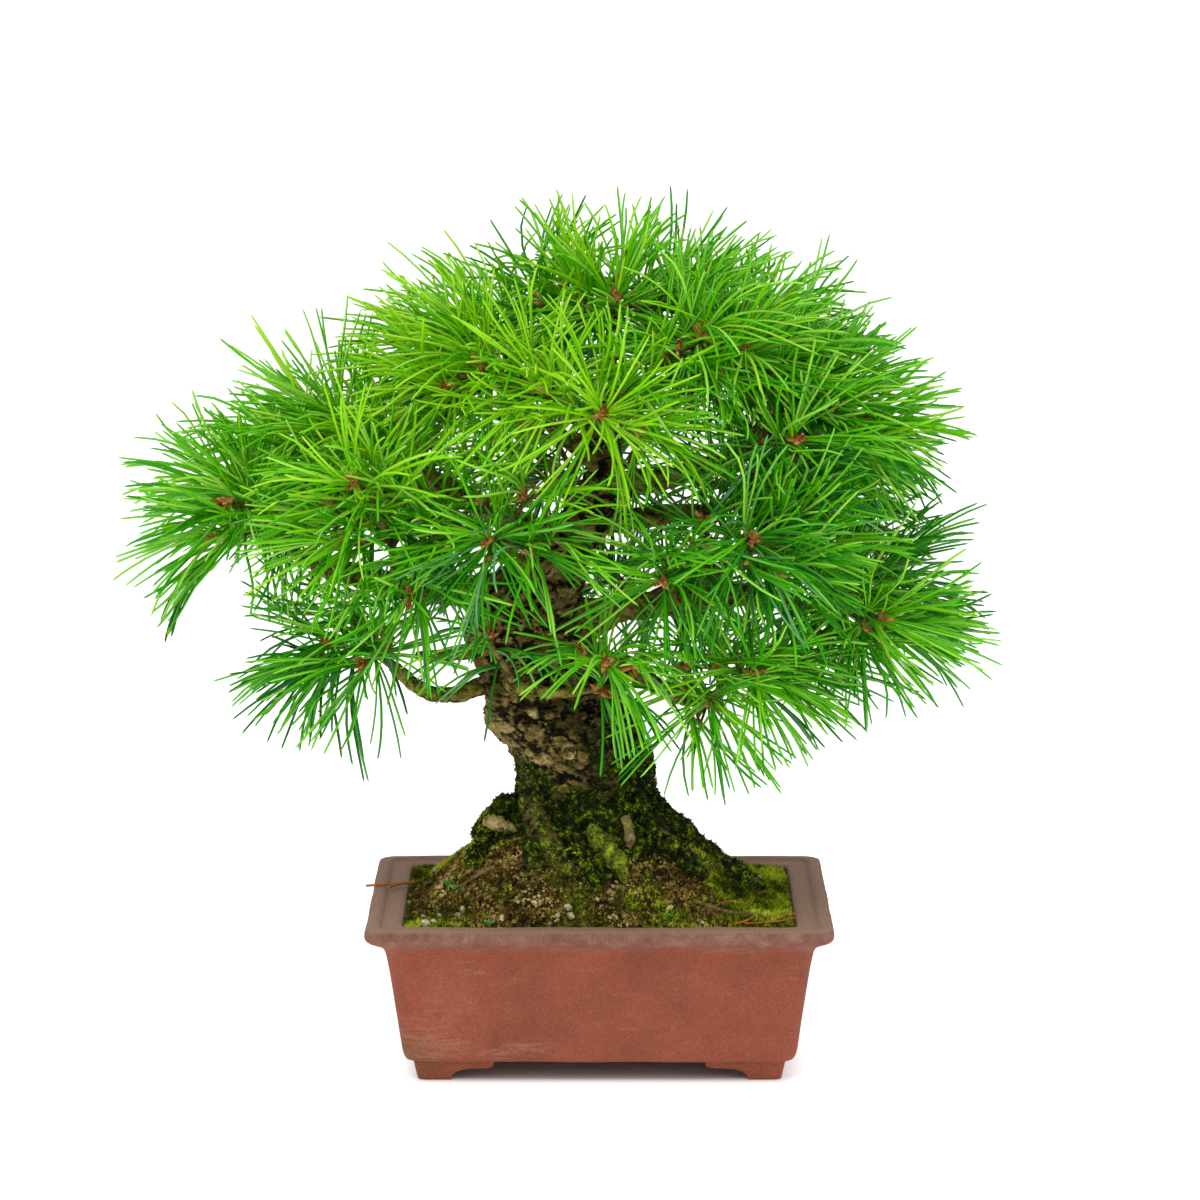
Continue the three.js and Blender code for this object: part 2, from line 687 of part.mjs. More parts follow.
// One twig with its needle spray as a closed surface: rings of three up the twig, then
// the faces of the shoot, where those with a needle tip rise to a point.
function sprayedTwig(twig, frame, tips) {
  const faces = SHOOT_FACES.map((face) =>
    face.map((p) => p.clone().multiplyScalar(CORE).applyMatrix4(frame).add(twig.place)),
  );
  const triangles = [];
  faces.slice(1).forEach((face, i) => {
    const tip = tips[i + 1];
    if (!tip) triangles.push(face);
    else for (let k = 0; k < 3; k++) triangles.push([face[k], face[(k + 1) % 3], tip]);
  });
  let ring = faces[0];
  const middle = twig.place.clone();
  const offsets = ring.map((p) => p.clone().sub(middle));
  const flat = offsets.map((p) => p.clone().addScaledVector(twig.ahead, -p.dot(twig.ahead)).normalize());
  const steps = 2;
  for (let s = steps - 1; s >= 0; s--) {
    const centre = twig.at(s / steps);
    const before = twig.at(Math.max(0, s - 0.3) / steps);
    const after = twig.at((s + 0.3) / steps);
    const ahead = after.sub(before).normalize();
    const radius = TWIG * (1.15 - 0.15 * (s / steps));
    const next = flat.map((p) => {
      const square = p.clone().addScaledVector(ahead, -p.dot(ahead)).normalize();
      return centre.clone().addScaledVector(square, radius);
    });
    for (let k = 0; k < 3; k++) {
      const m = (k + 1) % 3;
      triangles.push([ring[k], ring[m], next[m]], [ring[k], next[m], next[k]]);
    }
    ring = next;
  }
  triangles.push([ring[0], ring[1], ring[2]]);
  return new THREE.BufferGeometry().setFromPoints(triangles.flat());
}

// Needle tips for one shoot, left out where a needle would leave the mass's space,
// touch a limb or come up against another needle or twig of its own mass.
function needleTips(name, twig, frame, random, taken, limbs) {
  return SHOOT_FACES.map((face, f) => {
    const jitter = random();
    if (f === 0) return null;
    const way = face[0].clone().add(face[1]).add(face[2]).normalize();
    if (way.z < -0.3) return null;
    way.applyMatrix4(frame);
    for (const share of [1, 0.8, 0.62]) {
      const length = NEEDLE * (0.86 + 0.14 * jitter) * share;
      const tip = twig.place.clone().addScaledVector(way, length);
      const root = twig.place.clone().addScaledVector(way, CORE + 1.2);
      if (!inOwnSpace(name, tip, GAP)) continue;
      const clear = (other, gap) => distanceBetween(root, tip, other.a, other.b) > other.radius + gap;
      if (limbs.every((limb) => clear(limb, 2)) && taken.every((other) => clear(other, 0.8))) {
        taken.push({ a: root, b: tip, radius: 0.8 });
        return tip;
      }
    }
    return null;
  });
}

// A mass of needles: its stem with its twigs and their sprays fused on as one body.
function makeMass(name, limbs) {
  const mass = MASSES[name];
  const random = seeded(Object.keys(MASSES).indexOf(name) * 104729 + 71);
  const stem = stemOf(mass);
  const stem_points = [0, 0, 0.35, 0.7, 1].map((t) => stem.at(t));
  stem_points[1].add(stem.ahead);
  const parts = [toSolid(tube(stem_points, [stem.radius, TWIG * 1.3], 5))];
  const kept = [];
  for (const twig of twigsOf(name)) {
    const roll = random() * 2 * Math.PI;
    const path = [0, 1 / 3, 2 / 3, 1].map((t) => twig.at(t));
    const lengths = [0, 1, 2].map((i) => ({ a: path[i], b: path[i + 1], radius: 2 }));
    const own = [twig.start, twig.bend, twig.close, twig.place].every((p) => inOwnSpace(name, p, 2));
    const free = lengths.every(({ a, b }) =>
      limbs.every((limb) => distanceBetween(a, b, limb.a, limb.b) > limb.radius + 2),
    );
    const apart = kept.every((other) =>
      other.lengths.slice(1).every((c) =>
        lengths.slice(1).every((d) => distanceBetween(c.a, c.b, d.a, d.b) > 3.2),
      ),
    );
    if (own && free && apart) kept.push({ twig, lengths, frame: shootFrame(twig.ahead, roll) });
  }
  const taken = kept.flatMap(({ twig, lengths }) => [
    ...lengths,
    { a: twig.place, b: twig.place.clone().addScaledVector(twig.ahead, 1), radius: CORE, of: twig },
  ]);
  for (let i = 0; i < 4; i++) taken.push({ a: stem_points[i], b: stem_points[i + 1], radius: stem.radius });
  for (const { twig, lengths, frame } of kept) {
    const others = taken.filter((item) => item.of !== twig && item !== lengths[2]);
    const before = others.length;
    const tips = needleTips(name, twig, frame, random, others, limbs);
    taken.push(...others.slice(before));
    parts.push(toSolid(sprayedTwig(twig, frame, tips)));
  }
  return toGeometry(wasm.Manifold.union(parts), 0.1);
}

function makeMaterial({ color, roughness }) {
  return new THREE.MeshStandardMaterial({ color, roughness, metalness: 0, flatShading: true });
}

function build() {
  const materials = Object.fromEntries(Object.entries(COLOURS).map(([key, look]) => [key, makeMaterial(look)]));
  const group = new THREE.Group();
  group.name = "white_pine_bonsai";
  const add = (name, geometry, material) => {
    const mesh = new THREE.Mesh(weld(geometry), materials[material]);
    mesh.name = name;
    group.add(mesh);
  };
  add("pot", makePot(), "clay");
  for (const [side, sx] of [["left", -1], ["right", 1]]) {
    add(`foot_front_${side}`, makeFoot(sx, -1), "clay");
    add(`foot_back_${side}`, makeFoot(sx, 1), "clay");
  }
  add("soil", makeSoil(), "moss");
  add("trunk", trunkSurface(), "bark");
  for (const name of Object.keys(BOUGHS)) add(`bough_${name}`, makeBough(BOUGHS[name]), "bark");
  const limbs = limbLengths();
  for (const name of Object.keys(MASSES)) add(`needles_${name}`, makeMass(name, limbs), "needles");
  const box = new THREE.Box3().setFromObject(group);
  const middle = box.getCenter(new THREE.Vector3());
  for (const mesh of group.children) mesh.geometry.translate(-middle.x, -middle.y, 0);
  return group;
}

export default build();
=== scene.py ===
"""A Japanese white pine bonsai in its clay pot, dressed around its fixed frame.

Lengths are millimetres from the middle of the pot on the table. metres() turns them into the frame's own.
"""
import math

import bpy
import numpy as np
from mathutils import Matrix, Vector


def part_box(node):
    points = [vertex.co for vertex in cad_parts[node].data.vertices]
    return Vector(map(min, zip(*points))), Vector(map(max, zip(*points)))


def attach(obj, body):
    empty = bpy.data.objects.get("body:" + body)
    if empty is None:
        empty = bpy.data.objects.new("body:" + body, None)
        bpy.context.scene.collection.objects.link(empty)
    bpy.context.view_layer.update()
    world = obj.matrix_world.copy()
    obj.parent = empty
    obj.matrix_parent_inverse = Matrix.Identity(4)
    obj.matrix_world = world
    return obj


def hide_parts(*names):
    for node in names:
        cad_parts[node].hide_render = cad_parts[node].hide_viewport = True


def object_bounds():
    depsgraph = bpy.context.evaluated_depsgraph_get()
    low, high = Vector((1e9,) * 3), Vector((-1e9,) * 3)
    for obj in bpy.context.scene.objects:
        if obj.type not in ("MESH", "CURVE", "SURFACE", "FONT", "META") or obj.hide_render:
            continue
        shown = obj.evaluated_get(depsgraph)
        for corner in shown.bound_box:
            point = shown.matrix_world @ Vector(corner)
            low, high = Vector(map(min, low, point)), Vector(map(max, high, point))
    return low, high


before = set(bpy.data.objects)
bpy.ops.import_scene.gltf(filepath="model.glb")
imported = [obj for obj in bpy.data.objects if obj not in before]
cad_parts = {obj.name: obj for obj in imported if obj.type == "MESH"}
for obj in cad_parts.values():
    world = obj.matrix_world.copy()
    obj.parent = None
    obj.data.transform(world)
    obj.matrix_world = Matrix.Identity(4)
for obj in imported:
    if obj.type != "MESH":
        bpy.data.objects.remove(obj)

CAD_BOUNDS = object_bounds()

MM = 0.001
POT_BOX = [np.array(corner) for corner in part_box("pot")]
POT_MIDDLE = (POT_BOX[0] + POT_BOX[1]) / 2 * (1, 1, 0)

# Sizes of the pot
POT_LENGTH, POT_WIDTH = 200, 150
# Inset from the rim's outline, height, and radius of the corner, up the outside and down the inside
POT_PROFILE = [
    (19, 8.5, 6), (16.6, 9.4, 7), (15.2, 12.5, 8), (14.4, 18, 8.5), (9, 55, 9), (8.2, 58.4, 9),
    (6.8, 60.6, 9), (4.4, 62.3, 8.5), (1.6, 63.8, 8), (0.2, 65.4, 7.5), (0, 67.5, 7), (0.3, 69.3, 7),
    (1.3, 70, 7), (6, 70, 6), (6.8, 69.2, 5.5), (14.8, 68.9, 3.4), (15.6, 68, 3.2), (20, 58, 4),
    (26, 21, 5), (29, 17, 5),
]
DRAIN_RADIUS, DRAIN_FROM_MIDDLE = 7, 45
FOOT_HEIGHT, FOOT_INSET, FOOT_BATTER, FOOT_PAD, FOOT_REACH, FOOT_WALL = 8.5, 19.8, 1.8, 14.5, 35, 10
# Height, and share of the way from the foot's pad to its full reach
FOOT_ARCH = [(0, 0), (1.6, 0.03), (3.2, 0.12), (4.4, 0.27), (5.1, 0.5), (5.2, 0.78), (8.5, 1)]

# Sizes of the ground
SOIL_EDGE, SOIL_RISE, SOIL_MOUND = 67.6, 2.4, 31
SOIL_HALF_X, SOIL_HALF_Y, SOIL_X, SOIL_Y = 75, 55, -4, 2
# How far the soil's edge is inside the rim's outline, and the height of its hidden underside
SOIL_WALL, SOIL_FOOT = 15.6, 61

# Sizes of the trunk: middle and half thickness, then swellings
TRUNK_CUT = 74
TRUNK = [
    (-6, 0, 74, 38), (-6, 0, 88, 35.5), (-6, 0, 102, 32.5), (-6, 1, 116, 30), (-7, 2, 131, 29.5),
    (-17, 3, 146, 32), (-20, 4, 158, 29.5), (-26, 5, 172, 27), (-31, 6, 186, 25.5), (-31, 7, 201, 22.5),
    (-20, 6, 218, 16.5), (-7, 3, 235, 12), (1, 0, 250, 9.5), (2.5, -3, 266, 7), (2, -4, 283, 5),
    (3.5, -2, 299, 3.8), (4.5, 0, 314, 2.8),
]
# Bearing, reach, top, spread and fullness
ROOTS = [
    (184, 16, 114, 20, 0.55), (-3, 41, 118, 17, 1.15), (-40, 12, 112, 13, 0.8), (-76, 9, 118, 11, 0.8),
    (-124, 12, 126, 14, 0.7), (46, 15, 116, 17, 0.8), (116, 14, 120, 18, 0.8),
]
# Bearing, height, size and rise
KNOTS = [
    (-78, 137, 9, 4.5), (-140, 163, 11, 4), (30, 150, 12, 0.5), (200, 185, 12, 3.5), (-35, 176, 10, 3),
    (95, 160, 13, 4),
]

# Each bough: the limb that carries it, its half thickness at both ends, and its line
BOUGHS = {
    "low_left": ("trunk", (3.6, 2.6), [
        (-36, 1, 167), (-50, -3, 164), (-61, -8, 161), (-72, -12, 161.6), (-82, -15, 168),
        (-89, -18, 174.5)]),
    "low_left_loop": ("trunk", (3.6, 1.8), [
        (-38, 2, 180), (-56, -5, 178.5), (-68, -9, 177.3), (-79, -12, 178)]),
    "left": ("trunk", (7.2, 3.6), [
        (-30, 6, 203), (-57, 3, 204), (-80, 1, 205.5), (-97, -1, 209), (-113, -3, 214), (-127, -5, 219.5)]),
    "left_front": ("left", (3.6, 2.3), [(-80, 1, 205.5), (-85, -18, 213), (-87, -34, 222)]),
    "left_back": ("trunk", (5.6, 3), [(-31, 7, 192), (-60, 24, 200), (-76, 36, 210), (-84, 40, 220)]),
    "left_upper": ("trunk", (5.4, 3), [(-16, 5, 224), (-44, 2, 238), (-66, -2, 250), (-82, -5, 257)]),
    "upper_left_front": ("trunk", (3.8, 2.3), [(2, -2, 260), (-14, -12, 272), (-27, -19, 283)]),
    "upper_left_back": ("trunk", (3.6, 2.3), [(2, -3, 272), (-12, 10, 281), (-27, 19, 288)]),
    "right_upper": ("trunk", (5, 2.8), [(0, 1, 248), (28, -2, 254), (48, -6, 260), (64, -9, 266)]),
    "right_top_front": ("trunk", (3.2, 2.1), [(2, -4, 284), (20, -14, 289), (33, -20, 292)]),
    "right_top_back": ("trunk", (3.2, 2.1), [(3, -3, 290), (20, 11, 292), (35, 20, 294)]),
    "right": ("trunk", (6.4, 3.4), [
        (-24, 6, 190), (2, 5, 195), (26, 3, 198), (52, 3, 202), (74, 3, 201), (88, 3, 199)]),
    "right_front": ("right", (3.6, 2.3), [(28, 3, 198.5), (38, -17, 207), (47, -33, 216)]),
    "right_back": ("trunk", (5, 2.8), [(-10, 4, 231), (12, 17, 233), (36, 30, 234), (54, 38, 235)]),
    "low_right": ("trunk", (5, 2.7), [(-16, -2, 178), (8, -13, 174), (24, -22, 167), (37, -29, 162)]),
    "front_low": ("trunk", (3.1, 1.8), [(-36, -10, 169), (-37, -31, 169), (-22, -39, 167), (-8, -42, 168)]),
    "front": ("trunk", (4.6, 2.6), [(-27, 5, 208), (-32, -20, 216), (-37, -42, 226)]),
    "front_high": ("trunk", (3.4, 2.2), [(2, -4, 275), (2, -24, 279), (0, -40, 282)]),
    "back": ("trunk", (5.6, 3), [(-26, 6, 210), (-22, 28, 219), (-16, 44, 228)]),
    "back_low": ("trunk", (4.8, 2.6), [(-24, 6, 178), (-6, 30, 181), (6, 42, 184)]),
}

# Each mass of needles: the limb that carries it, its middle, its half size, its count of shoots, and the
# places of shoots that are given one by one. The order gives each mass its seed.
MASSES = {
    "apex": ("trunk", (8, 0, 328), (34, 30, 9), 9, [(6, -28, 334), (-24, 4, 329)]),
    "top_left_front": ("upper_left_front", (-44, -30, 301), (30, 24, 12), 8, []),
    "top_left_back": ("upper_left_back", (-46, 32, 303), (30, 26, 12), 8, []),
    "top_right_front": ("right_top_front", (51, -29, 308), (30, 23, 12), 8, [(43, -48, 322)]),
    "top_right_back": ("right_top_back", (53, 31, 309), (30, 26, 12), 7, []),
    "left_upper": ("left_upper", (-104, -6, 270), (32, 34, 14), 10, [(-134, -6, 270)]),
    "left_far": ("left", (-143, -8, 236), (22, 36, 17), 8, [
        (-157, -46, 250), (-163, -34, 234), (-160, 12, 251)]),
    "left_mid_front": ("left_front", (-90, -56, 240), (28, 20, 22), 7, [(-102, -78, 263), (-79, -82, 216)]),
    "left_mid_back": ("left_back", (-98, 50, 236), (32, 28, 20), 8, []),
    "low_left": ("low_left", (-104, -22, 185), (16, 34, 10), 8, [(-99, -56, 183)]),
    "front": ("front", (-42, -62, 238), (26, 18, 20), 7, [(-46, -86, 240)]),
    "front_high": ("front_high", (-4, -58, 288), (26, 18, 11), 6, [(1, -84, 293), (-24, -72, 302)]),
    "right_upper": ("right_upper", (87, -10, 277), (28, 36, 17), 11, [(82, -56, 278)]),
    "right_mid": ("right_front", (62, -54, 232), (30, 20, 18), 8, [(63, -82, 240), (27, -76, 222)]),
    "right_far": ("right", (107, 2, 196), (24, 42, 20), 11, [(119, -48, 201), (126, 6, 215)]),
    "low_right": ("low_right", (58, -46, 174), (27, 20, 11), 8, [(47, -64, 167), (65, -66, 180)]),
    "right_back": ("right_back", (76, 52, 242), (30, 26, 20), 8, []),
    "back": ("back", (-12, 66, 250), (30, 22, 20), 8, []),
    "front_low": ("front_low", (4, -60, 182), (18, 12, 10), 3, [(2, -78, 187), (1, -60, 172)]),
    "back_low": ("back_low", (20, 62, 192), (36, 24, 15), 8, []),
}
# How near two shoots of a mass may stand, the gap between a limb and its stem, and a twig's half thickness
NEAREST_SHOOTS, GAP, TWIG = 15, 0.3, 1.25
# The place that all shoots point away from, how little its height counts, and how far high shoots turn up
HEART = np.array((-10, 0, 212))
HEART_PULL, HEART_LIFT = 0.6, 0.3
# The turn from each twig, shoot or needle bundle to the next
GOLDEN = math.radians(137.508)
# Half thickness from which a limb's bark has its full relief
FULL_RELIEF = 4

# A needle's usual length and half thickness, how many a bundle has, and the steps along its curve
NEEDLE, NEEDLE_RADIUS, FASCICLE, CURVE_STEPS = 53, 0.69, 5, 10
# A sprig that stands up from the low front bough before the trunk: the places its curve runs by, and its end
SPRIG = [(-37, -32, 169), (-40, -38, 180), (-45, -53, 187), (-47, -58, 194)]
# Shoots whose needles hang before the trunk, and how much more they droop than the rest
HANGING = {(2, -78, 187): 1.1, (1, -60, 172): 1.1, (-47, -58, 194): 0.5}
# Masses whose shoots carry fewer and shorter needles than the rest
THIN = {"front_low": 0.7}
# Needle bundles of a listed shoot, of one inside the crown and how many more at its outside, and of one
# on a finer twig
BUNDLES_WHOLE, BUNDLES_INNER, BUNDLES_OUTER, BUNDLES_FINE = 11, 2.6, 7.2, 2.4
# Needles shorter than this are young, and brighter
YOUNG = 22
# The most triangles in one piece of needles
PIECE_LIMIT = 190000

# The photograph's view: the camera's place, the degrees it looks down, its lens, and the picture's width in
# its own units
CAMERA_PLACE = (0.2, -2074.7, 555.8)
CAMERA_TILT = 9.72
LENS, SENSOR, PICTURE = 145.3, 36, 1200

# Where the picture shows sky or bare limbs in the crown: middle, half width, half height and share of
# needles kept. The first lot holds for every needle, the second for all but the foremost shoots'.
SKY = [
    (222, 622, 30, 56, 0.03), (428, 735, 56, 30, 0.1), (545, 745, 62, 50, 0.05), (260, 806, 100, 30, 0.1),
    (690, 822, 90, 28, 0.1), (850, 805, 60, 32, 0.1),
]
GLIMPSES = [
    (440, 650, 40, 30, 0.2), (330, 556, 50, 14, 0.35), (285, 576, 22, 12, 0.3), (562, 450, 42, 22, 0.3),
    (640, 460, 30, 20, 0.3), (455, 470, 34, 22, 0.6), (765, 442, 22, 12, 0.4), (645, 728, 44, 34, 0.15),
    (675, 630, 24, 22, 0.4), (733, 738, 26, 22, 0.3), (905, 690, 40, 26, 0.4), (535, 600, 50, 40, 0.5),
    (600, 697, 56, 14, 0.35), (720, 590, 30, 24, 0.5), (500, 455, 90, 34, 0.6), (615, 490, 70, 30, 0.6),
]


def metres(points):
    """Places in millimetres from the middle of the pot, as the frame's metres."""
    return np.asarray(points, float) * MM + POT_MIDDLE


def smooth(low, high, value):
    """From 0 at low to 1 at high, with no corner at either end."""
    share = np.clip((np.asarray(value, float) - low) / (high - low), 0, 1)
    return share * share * (3 - 2 * share)


def unit(vectors):
    """Vectors of length 1, along the last axis."""
    vectors = np.asarray(vectors, float)
    return vectors / np.maximum(np.linalg.norm(vectors, axis=-1, keepdims=True), 1e-9)


def seeded(seed):
    """Numbers from 0 to 1 that come out the same every time."""
    state = seed
    while True:
        state = (state * 1664525 + 1013904223) % 2**32
        yield state / 2**32


def along(rows, share):
    """A row of numbers on the smooth curve through rows, from the first at 0 to the last at 1."""
    rows = np.asarray(rows, float)
    spans = len(rows) - 1
    span = min(spans - 1, int(share * spans))
    s = share * spans - span
    padded = np.vstack([2 * rows[0] - rows[1], rows, 2 * rows[-1] - rows[-2]])
    a, b, c, d = padded[span : span + 4]
    slope_in = (c - a) / 2
    slope_out = (d - b) / 2
    bend = 3 * (c - b) - 2 * slope_in - slope_out
    turn = 2 * (b - c) + slope_in + slope_out
    return b + s * (slope_in + s * (bend + s * turn))


def wave(points, size, seed):
    """Soft seeded unevenness from -1 to 1 over places, with swells of about this size."""
    chance = np.random.default_rng(seed)
    total = 0
    for _ in range(5):
        way = unit(chance.normal(size=3)) * 2 * math.pi / (size * chance.uniform(0.7, 1.5))
        total = total + np.sin(np.asarray(points, float) @ way + chance.uniform(0, 6.28))
    return total / 3


def in_picture(points):
    """Where places stand in the photograph, in its own units from its upper left corner."""
    tilt = math.radians(CAMERA_TILT)
    away = np.asarray(points, float) - CAMERA_PLACE
    depth = away[..., 1] * math.cos(tilt) - away[..., 2] * math.sin(tilt)
    down = -away[..., 1] * math.sin(tilt) - away[..., 2] * math.cos(tilt)
    scale = LENS / SENSOR * PICTURE
    return PICTURE / 2 + scale * away[..., 0] / depth, PICTURE / 2 + scale * down / depth


# Meshes and trees of nodes


def placed(name, data):
    """An object of this name in the scene, made of its data."""
    made = bpy.data.objects.new(name, data)
    bpy.context.scene.collection.objects.link(made)
    return made


def mark(mesh, **marks):
    """Gives the points of a mesh named numbers or ways."""
    for label, values in marks.items():
        values = np.asarray(values, np.float32)
        kind, field = ("FLOAT", "value") if values.ndim == 1 else ("FLOAT_VECTOR", "vector")
        mesh.attributes.new(label, kind, "POINT").data.foreach_set(field, values.ravel())


def mesh_piece(name, points, faces, **marks):
    """A piece from points in millimetres, faces, and named numbers for each point."""
    mesh = bpy.data.meshes.new(name)
    mesh.from_pydata(metres(points).tolist(), [], [list(face) for face in faces], shade_flat=False)
    mark(mesh, **marks)
    return placed(name, mesh)


def loft(rings):
    """Points and faces of the closed surface through rings of points that turn to the left."""
    count = len(rings[0])
    faces = []
    for r in range(len(rings) - 1):
        for i in range(count):
            a, b = r * count + i, r * count + (i + 1) % count
            faces.append((a, b, b + count, a + count))
    last = (len(rings) - 1) * count
    faces.append(tuple(range(count - 1, -1, -1)))
    faces.append(tuple(range(last, last + count)))
    return np.vstack(rings), faces


def line_piece(name, lines):
    """A piece of bare lines: each has its points, half thicknesses, and named numbers for its finish."""
    points, edges, thick = [], [], []
    marks = {"moss": [], "algae": [], "bare": []}
    for line, radii, given in lines:
        edges += [(len(points) + i, len(points) + i + 1) for i in range(len(line) - 1)]
        points += list(line)
        thick += [radius * MM for radius in radii]
        for label, values in marks.items():
            values += [given.get(label, 0)] * len(line)
    mesh = bpy.data.meshes.new(name)
    mesh.from_pydata(metres(points).tolist(), edges, [])
    mark(mesh, **marks, thick=thick, fade=np.clip(np.array(thick) / (FULL_RELIEF * MM), 0.25, 1))
    return placed(name, mesh)


def plug(tree, node, inputs):
    """Sets a node's inputs, or links them to sockets or to other nodes' first outputs. Inputs without labels
    go in by their order."""
    for key, value in inputs.items() if isinstance(inputs, dict) else enumerate(inputs):
        if isinstance(value, bpy.types.Node):
            value = value.outputs[0]
        if isinstance(value, bpy.types.NodeSocket):
            tree.links.new(value, node.inputs[key])
        else:
            node.inputs[key].default_value = value


def add(tree, kind, inputs=None, stops=None, **settings):
    """Adds a node with its settings, its inputs and a ramp's stops, whose colours are hex values."""
    node = tree.nodes.new(kind)
    for label, value in settings.items():
        setattr(node, label, value)
    plug(tree, node, inputs or {})
    if stops:
        elements = node.color_ramp.elements
        while len(elements) < len(stops):
            elements.new(1)
        for element, (position, code) in zip(elements, stops):
            element.position = position
            element.color = shade(code)
    return node


def geometry_tree(name, **inputs):
    """A tree for Geometry Nodes with named inputs, and the sockets that bring them in."""
    tree = bpy.data.node_groups.new(name, "GeometryNodeTree")
    tree.interface.new_socket("Geometry", in_out="INPUT", socket_type="NodeSocketGeometry")
    for label, kind in inputs.items():
        tree.interface.new_socket(label, in_out="INPUT", socket_type="NodeSocket" + kind)
    tree.interface.new_socket("Geometry", in_out="OUTPUT", socket_type="NodeSocketGeometry")
    return tree, add(tree, "NodeGroupInput").outputs


def end_tree(tree, geometry, material):
    """Realizes a tree's instances, gives them their material and ends the tree."""
    plain = add(tree, "GeometryNodeRealizeInstances", {"Geometry": geometry})
    painted = add(tree, "GeometryNodeSetMaterial", {"Geometry": plain, "Material": material})
    add(tree, "NodeGroupOutput", {"Geometry": painted})
    return tree


def grow(piece, tree, **values):
    """Runs a tree on a piece, with its inputs set by identifier, and keeps the plain mesh."""
    modifier = piece.modifiers.new(tree.name, "NODES")
    modifier.node_group = tree
    for item in tree.interface.items_tree:
        if item.in_out == "INPUT" and item.name in values:
            modifier[item.identifier] = values[item.name]
    return keep_mesh(piece)


def keep_mesh(piece):
    """Turns a piece's modifiers into its plain mesh."""
    bpy.context.view_layer.update()
    seen = bpy.context.evaluated_depsgraph_get()
    mesh = bpy.data.meshes.new_from_object(
        piece.evaluated_get(seen), preserve_all_data_layers=True, depsgraph=seen
    )
    piece.modifiers.clear()
    piece.data = mesh
    mesh.name = piece.name
    return piece


def plate_relief(tree, into, place, swirl):
    """The cracks between plates of bark, and the heights that plates and cracks give."""
    size = add(tree, "ShaderNodeCombineXYZ", (into["plate_width"], into["plate_width"], into["plate_height"]))
    cells = add(tree, "ShaderNodeVectorMath", (place, size), operation="DIVIDE")
    bent = add(tree, "ShaderNodeVectorMath", (swirl.outputs["Color"], (1.6, 1.6, 1.6), cells),
               operation="MULTIPLY_ADD")
    edge = add(tree, "ShaderNodeTexVoronoi", {"Vector": bent, "Scale": 1}, feature="DISTANCE_TO_EDGE")
    gaping = add(tree, "ShaderNodeMapRange", (swirl, 0.46, 0.64, 0.02, 0.4))
    crack = add(tree, "ShaderNodeMapRange", (
        edge.outputs["Distance"], 0, gaping, 1, 0), interpolation_type="SMOOTHSTEP")
    heights = []
    for often, share in ((1, 1.0), (2.7, 0.5)):
        tint = add(tree, "ShaderNodeTexVoronoi", {"Vector": bent, "Scale": often}).outputs["Color"]
        step = add(tree, "ShaderNodeSeparateXYZ", (tint,))
        scaled = add(tree, "ShaderNodeMath", (step, share), operation="MULTIPLY")
        heights.append(add(tree, "ShaderNodeMath", (scaled, into["plate_step"]), operation="MULTIPLY"))
    heights.append(add(tree, "ShaderNodeMath", (crack, into["crack_depth"]), operation="MULTIPLY"))
    return crack, heights


def flake_relief(tree, into, place, swirl):
    """The height that thin sharp flakes give, which lie in sloping layers."""
    turned = add(tree, "ShaderNodeVectorRotate", {"Vector": place, "Axis": (0, 1, 0), "Angle": 0.5})
    warped = add(tree, "ShaderNodeVectorMath", (
        swirl.outputs["Color"], (16 * MM, 16 * MM, 16 * MM), turned), operation="MULTIPLY_ADD")
    layered = add(tree, "ShaderNodeVectorMath", (warped, (1, 1, 3)), operation="MULTIPLY")
    flakes = add(tree, "ShaderNodeTexNoise", {
        "Vector": layered, "Scale": per(11), "Detail": 5, "Roughness": 0.65,
    }, noise_type="RIDGED_MULTIFRACTAL")
    return add(tree, "ShaderNodeMath", (flakes, into["flake_height"]), operation="MULTIPLY")


def relief_tree():
    """Raises a surface along its normals: lumps, grain, flakes, and plates of bark parted by cracks."""
    sizes = ("plate_width", "plate_height", "plate_step", "crack_depth", "lump_size", "lump_height",
             "grain_size", "grain_height", "flake_height")
    tree, into = geometry_tree("surface_relief", **dict.fromkeys(sizes, "Float"), finish="Material")
    place = add(tree, "GeometryNodeInputPosition")
    swirl = add(tree, "ShaderNodeTexNoise", {"Vector": place, "Scale": per(7), "Detail": 4, "Roughness": 0.7})
    crack, heights = plate_relief(tree, into, place, swirl)
    heights.append(flake_relief(tree, into, place, swirl))
    for size, height in (("grain_size", "grain_height"), ("lump_size", "lump_height")):
        often = add(tree, "ShaderNodeMath", (1.0, into[size]), operation="DIVIDE")
        noise = add(tree, "ShaderNodeTexNoise", {"Vector": place, "Scale": often, "Detail": 4})
        even = add(tree, "ShaderNodeMath", (noise, 0.5), operation="SUBTRACT")
        heights.append(add(tree, "ShaderNodeMath", (even, into[height]), operation="MULTIPLY"))
    sums = heights[:1]
    for height, way in zip(heights[1:], ("ADD", "SUBTRACT", "ADD", "ADD", "ADD")):
        sums.append(add(tree, "ShaderNodeMath", (sums[-1], height), operation=way))
    fine, rise = sums[-2:]
    fade = add(tree, "GeometryNodeInputNamedAttribute", {"Name": "fade"}, data_type="FLOAT")
    rise = add(tree, "ShaderNodeMath", (rise, fade), operation="MULTIPLY")
    normal = add(tree, "GeometryNodeInputNormal")
    offset = add(tree, "ShaderNodeVectorMath", {0: normal, "Scale": rise}, operation="SCALE")
    shape = into["Geometry"]
    for label, value in (("crack", crack), ("raised", fine)):
        shape = add(tree, "GeometryNodeStoreNamedAttribute", {
            "Geometry": shape, "Name": label, "Value": value}, data_type="FLOAT", domain="POINT")
    raised = add(tree, "GeometryNodeSetPosition", {"Geometry": shape, "Offset": offset})
    return end_tree(tree, raised, into["finish"])


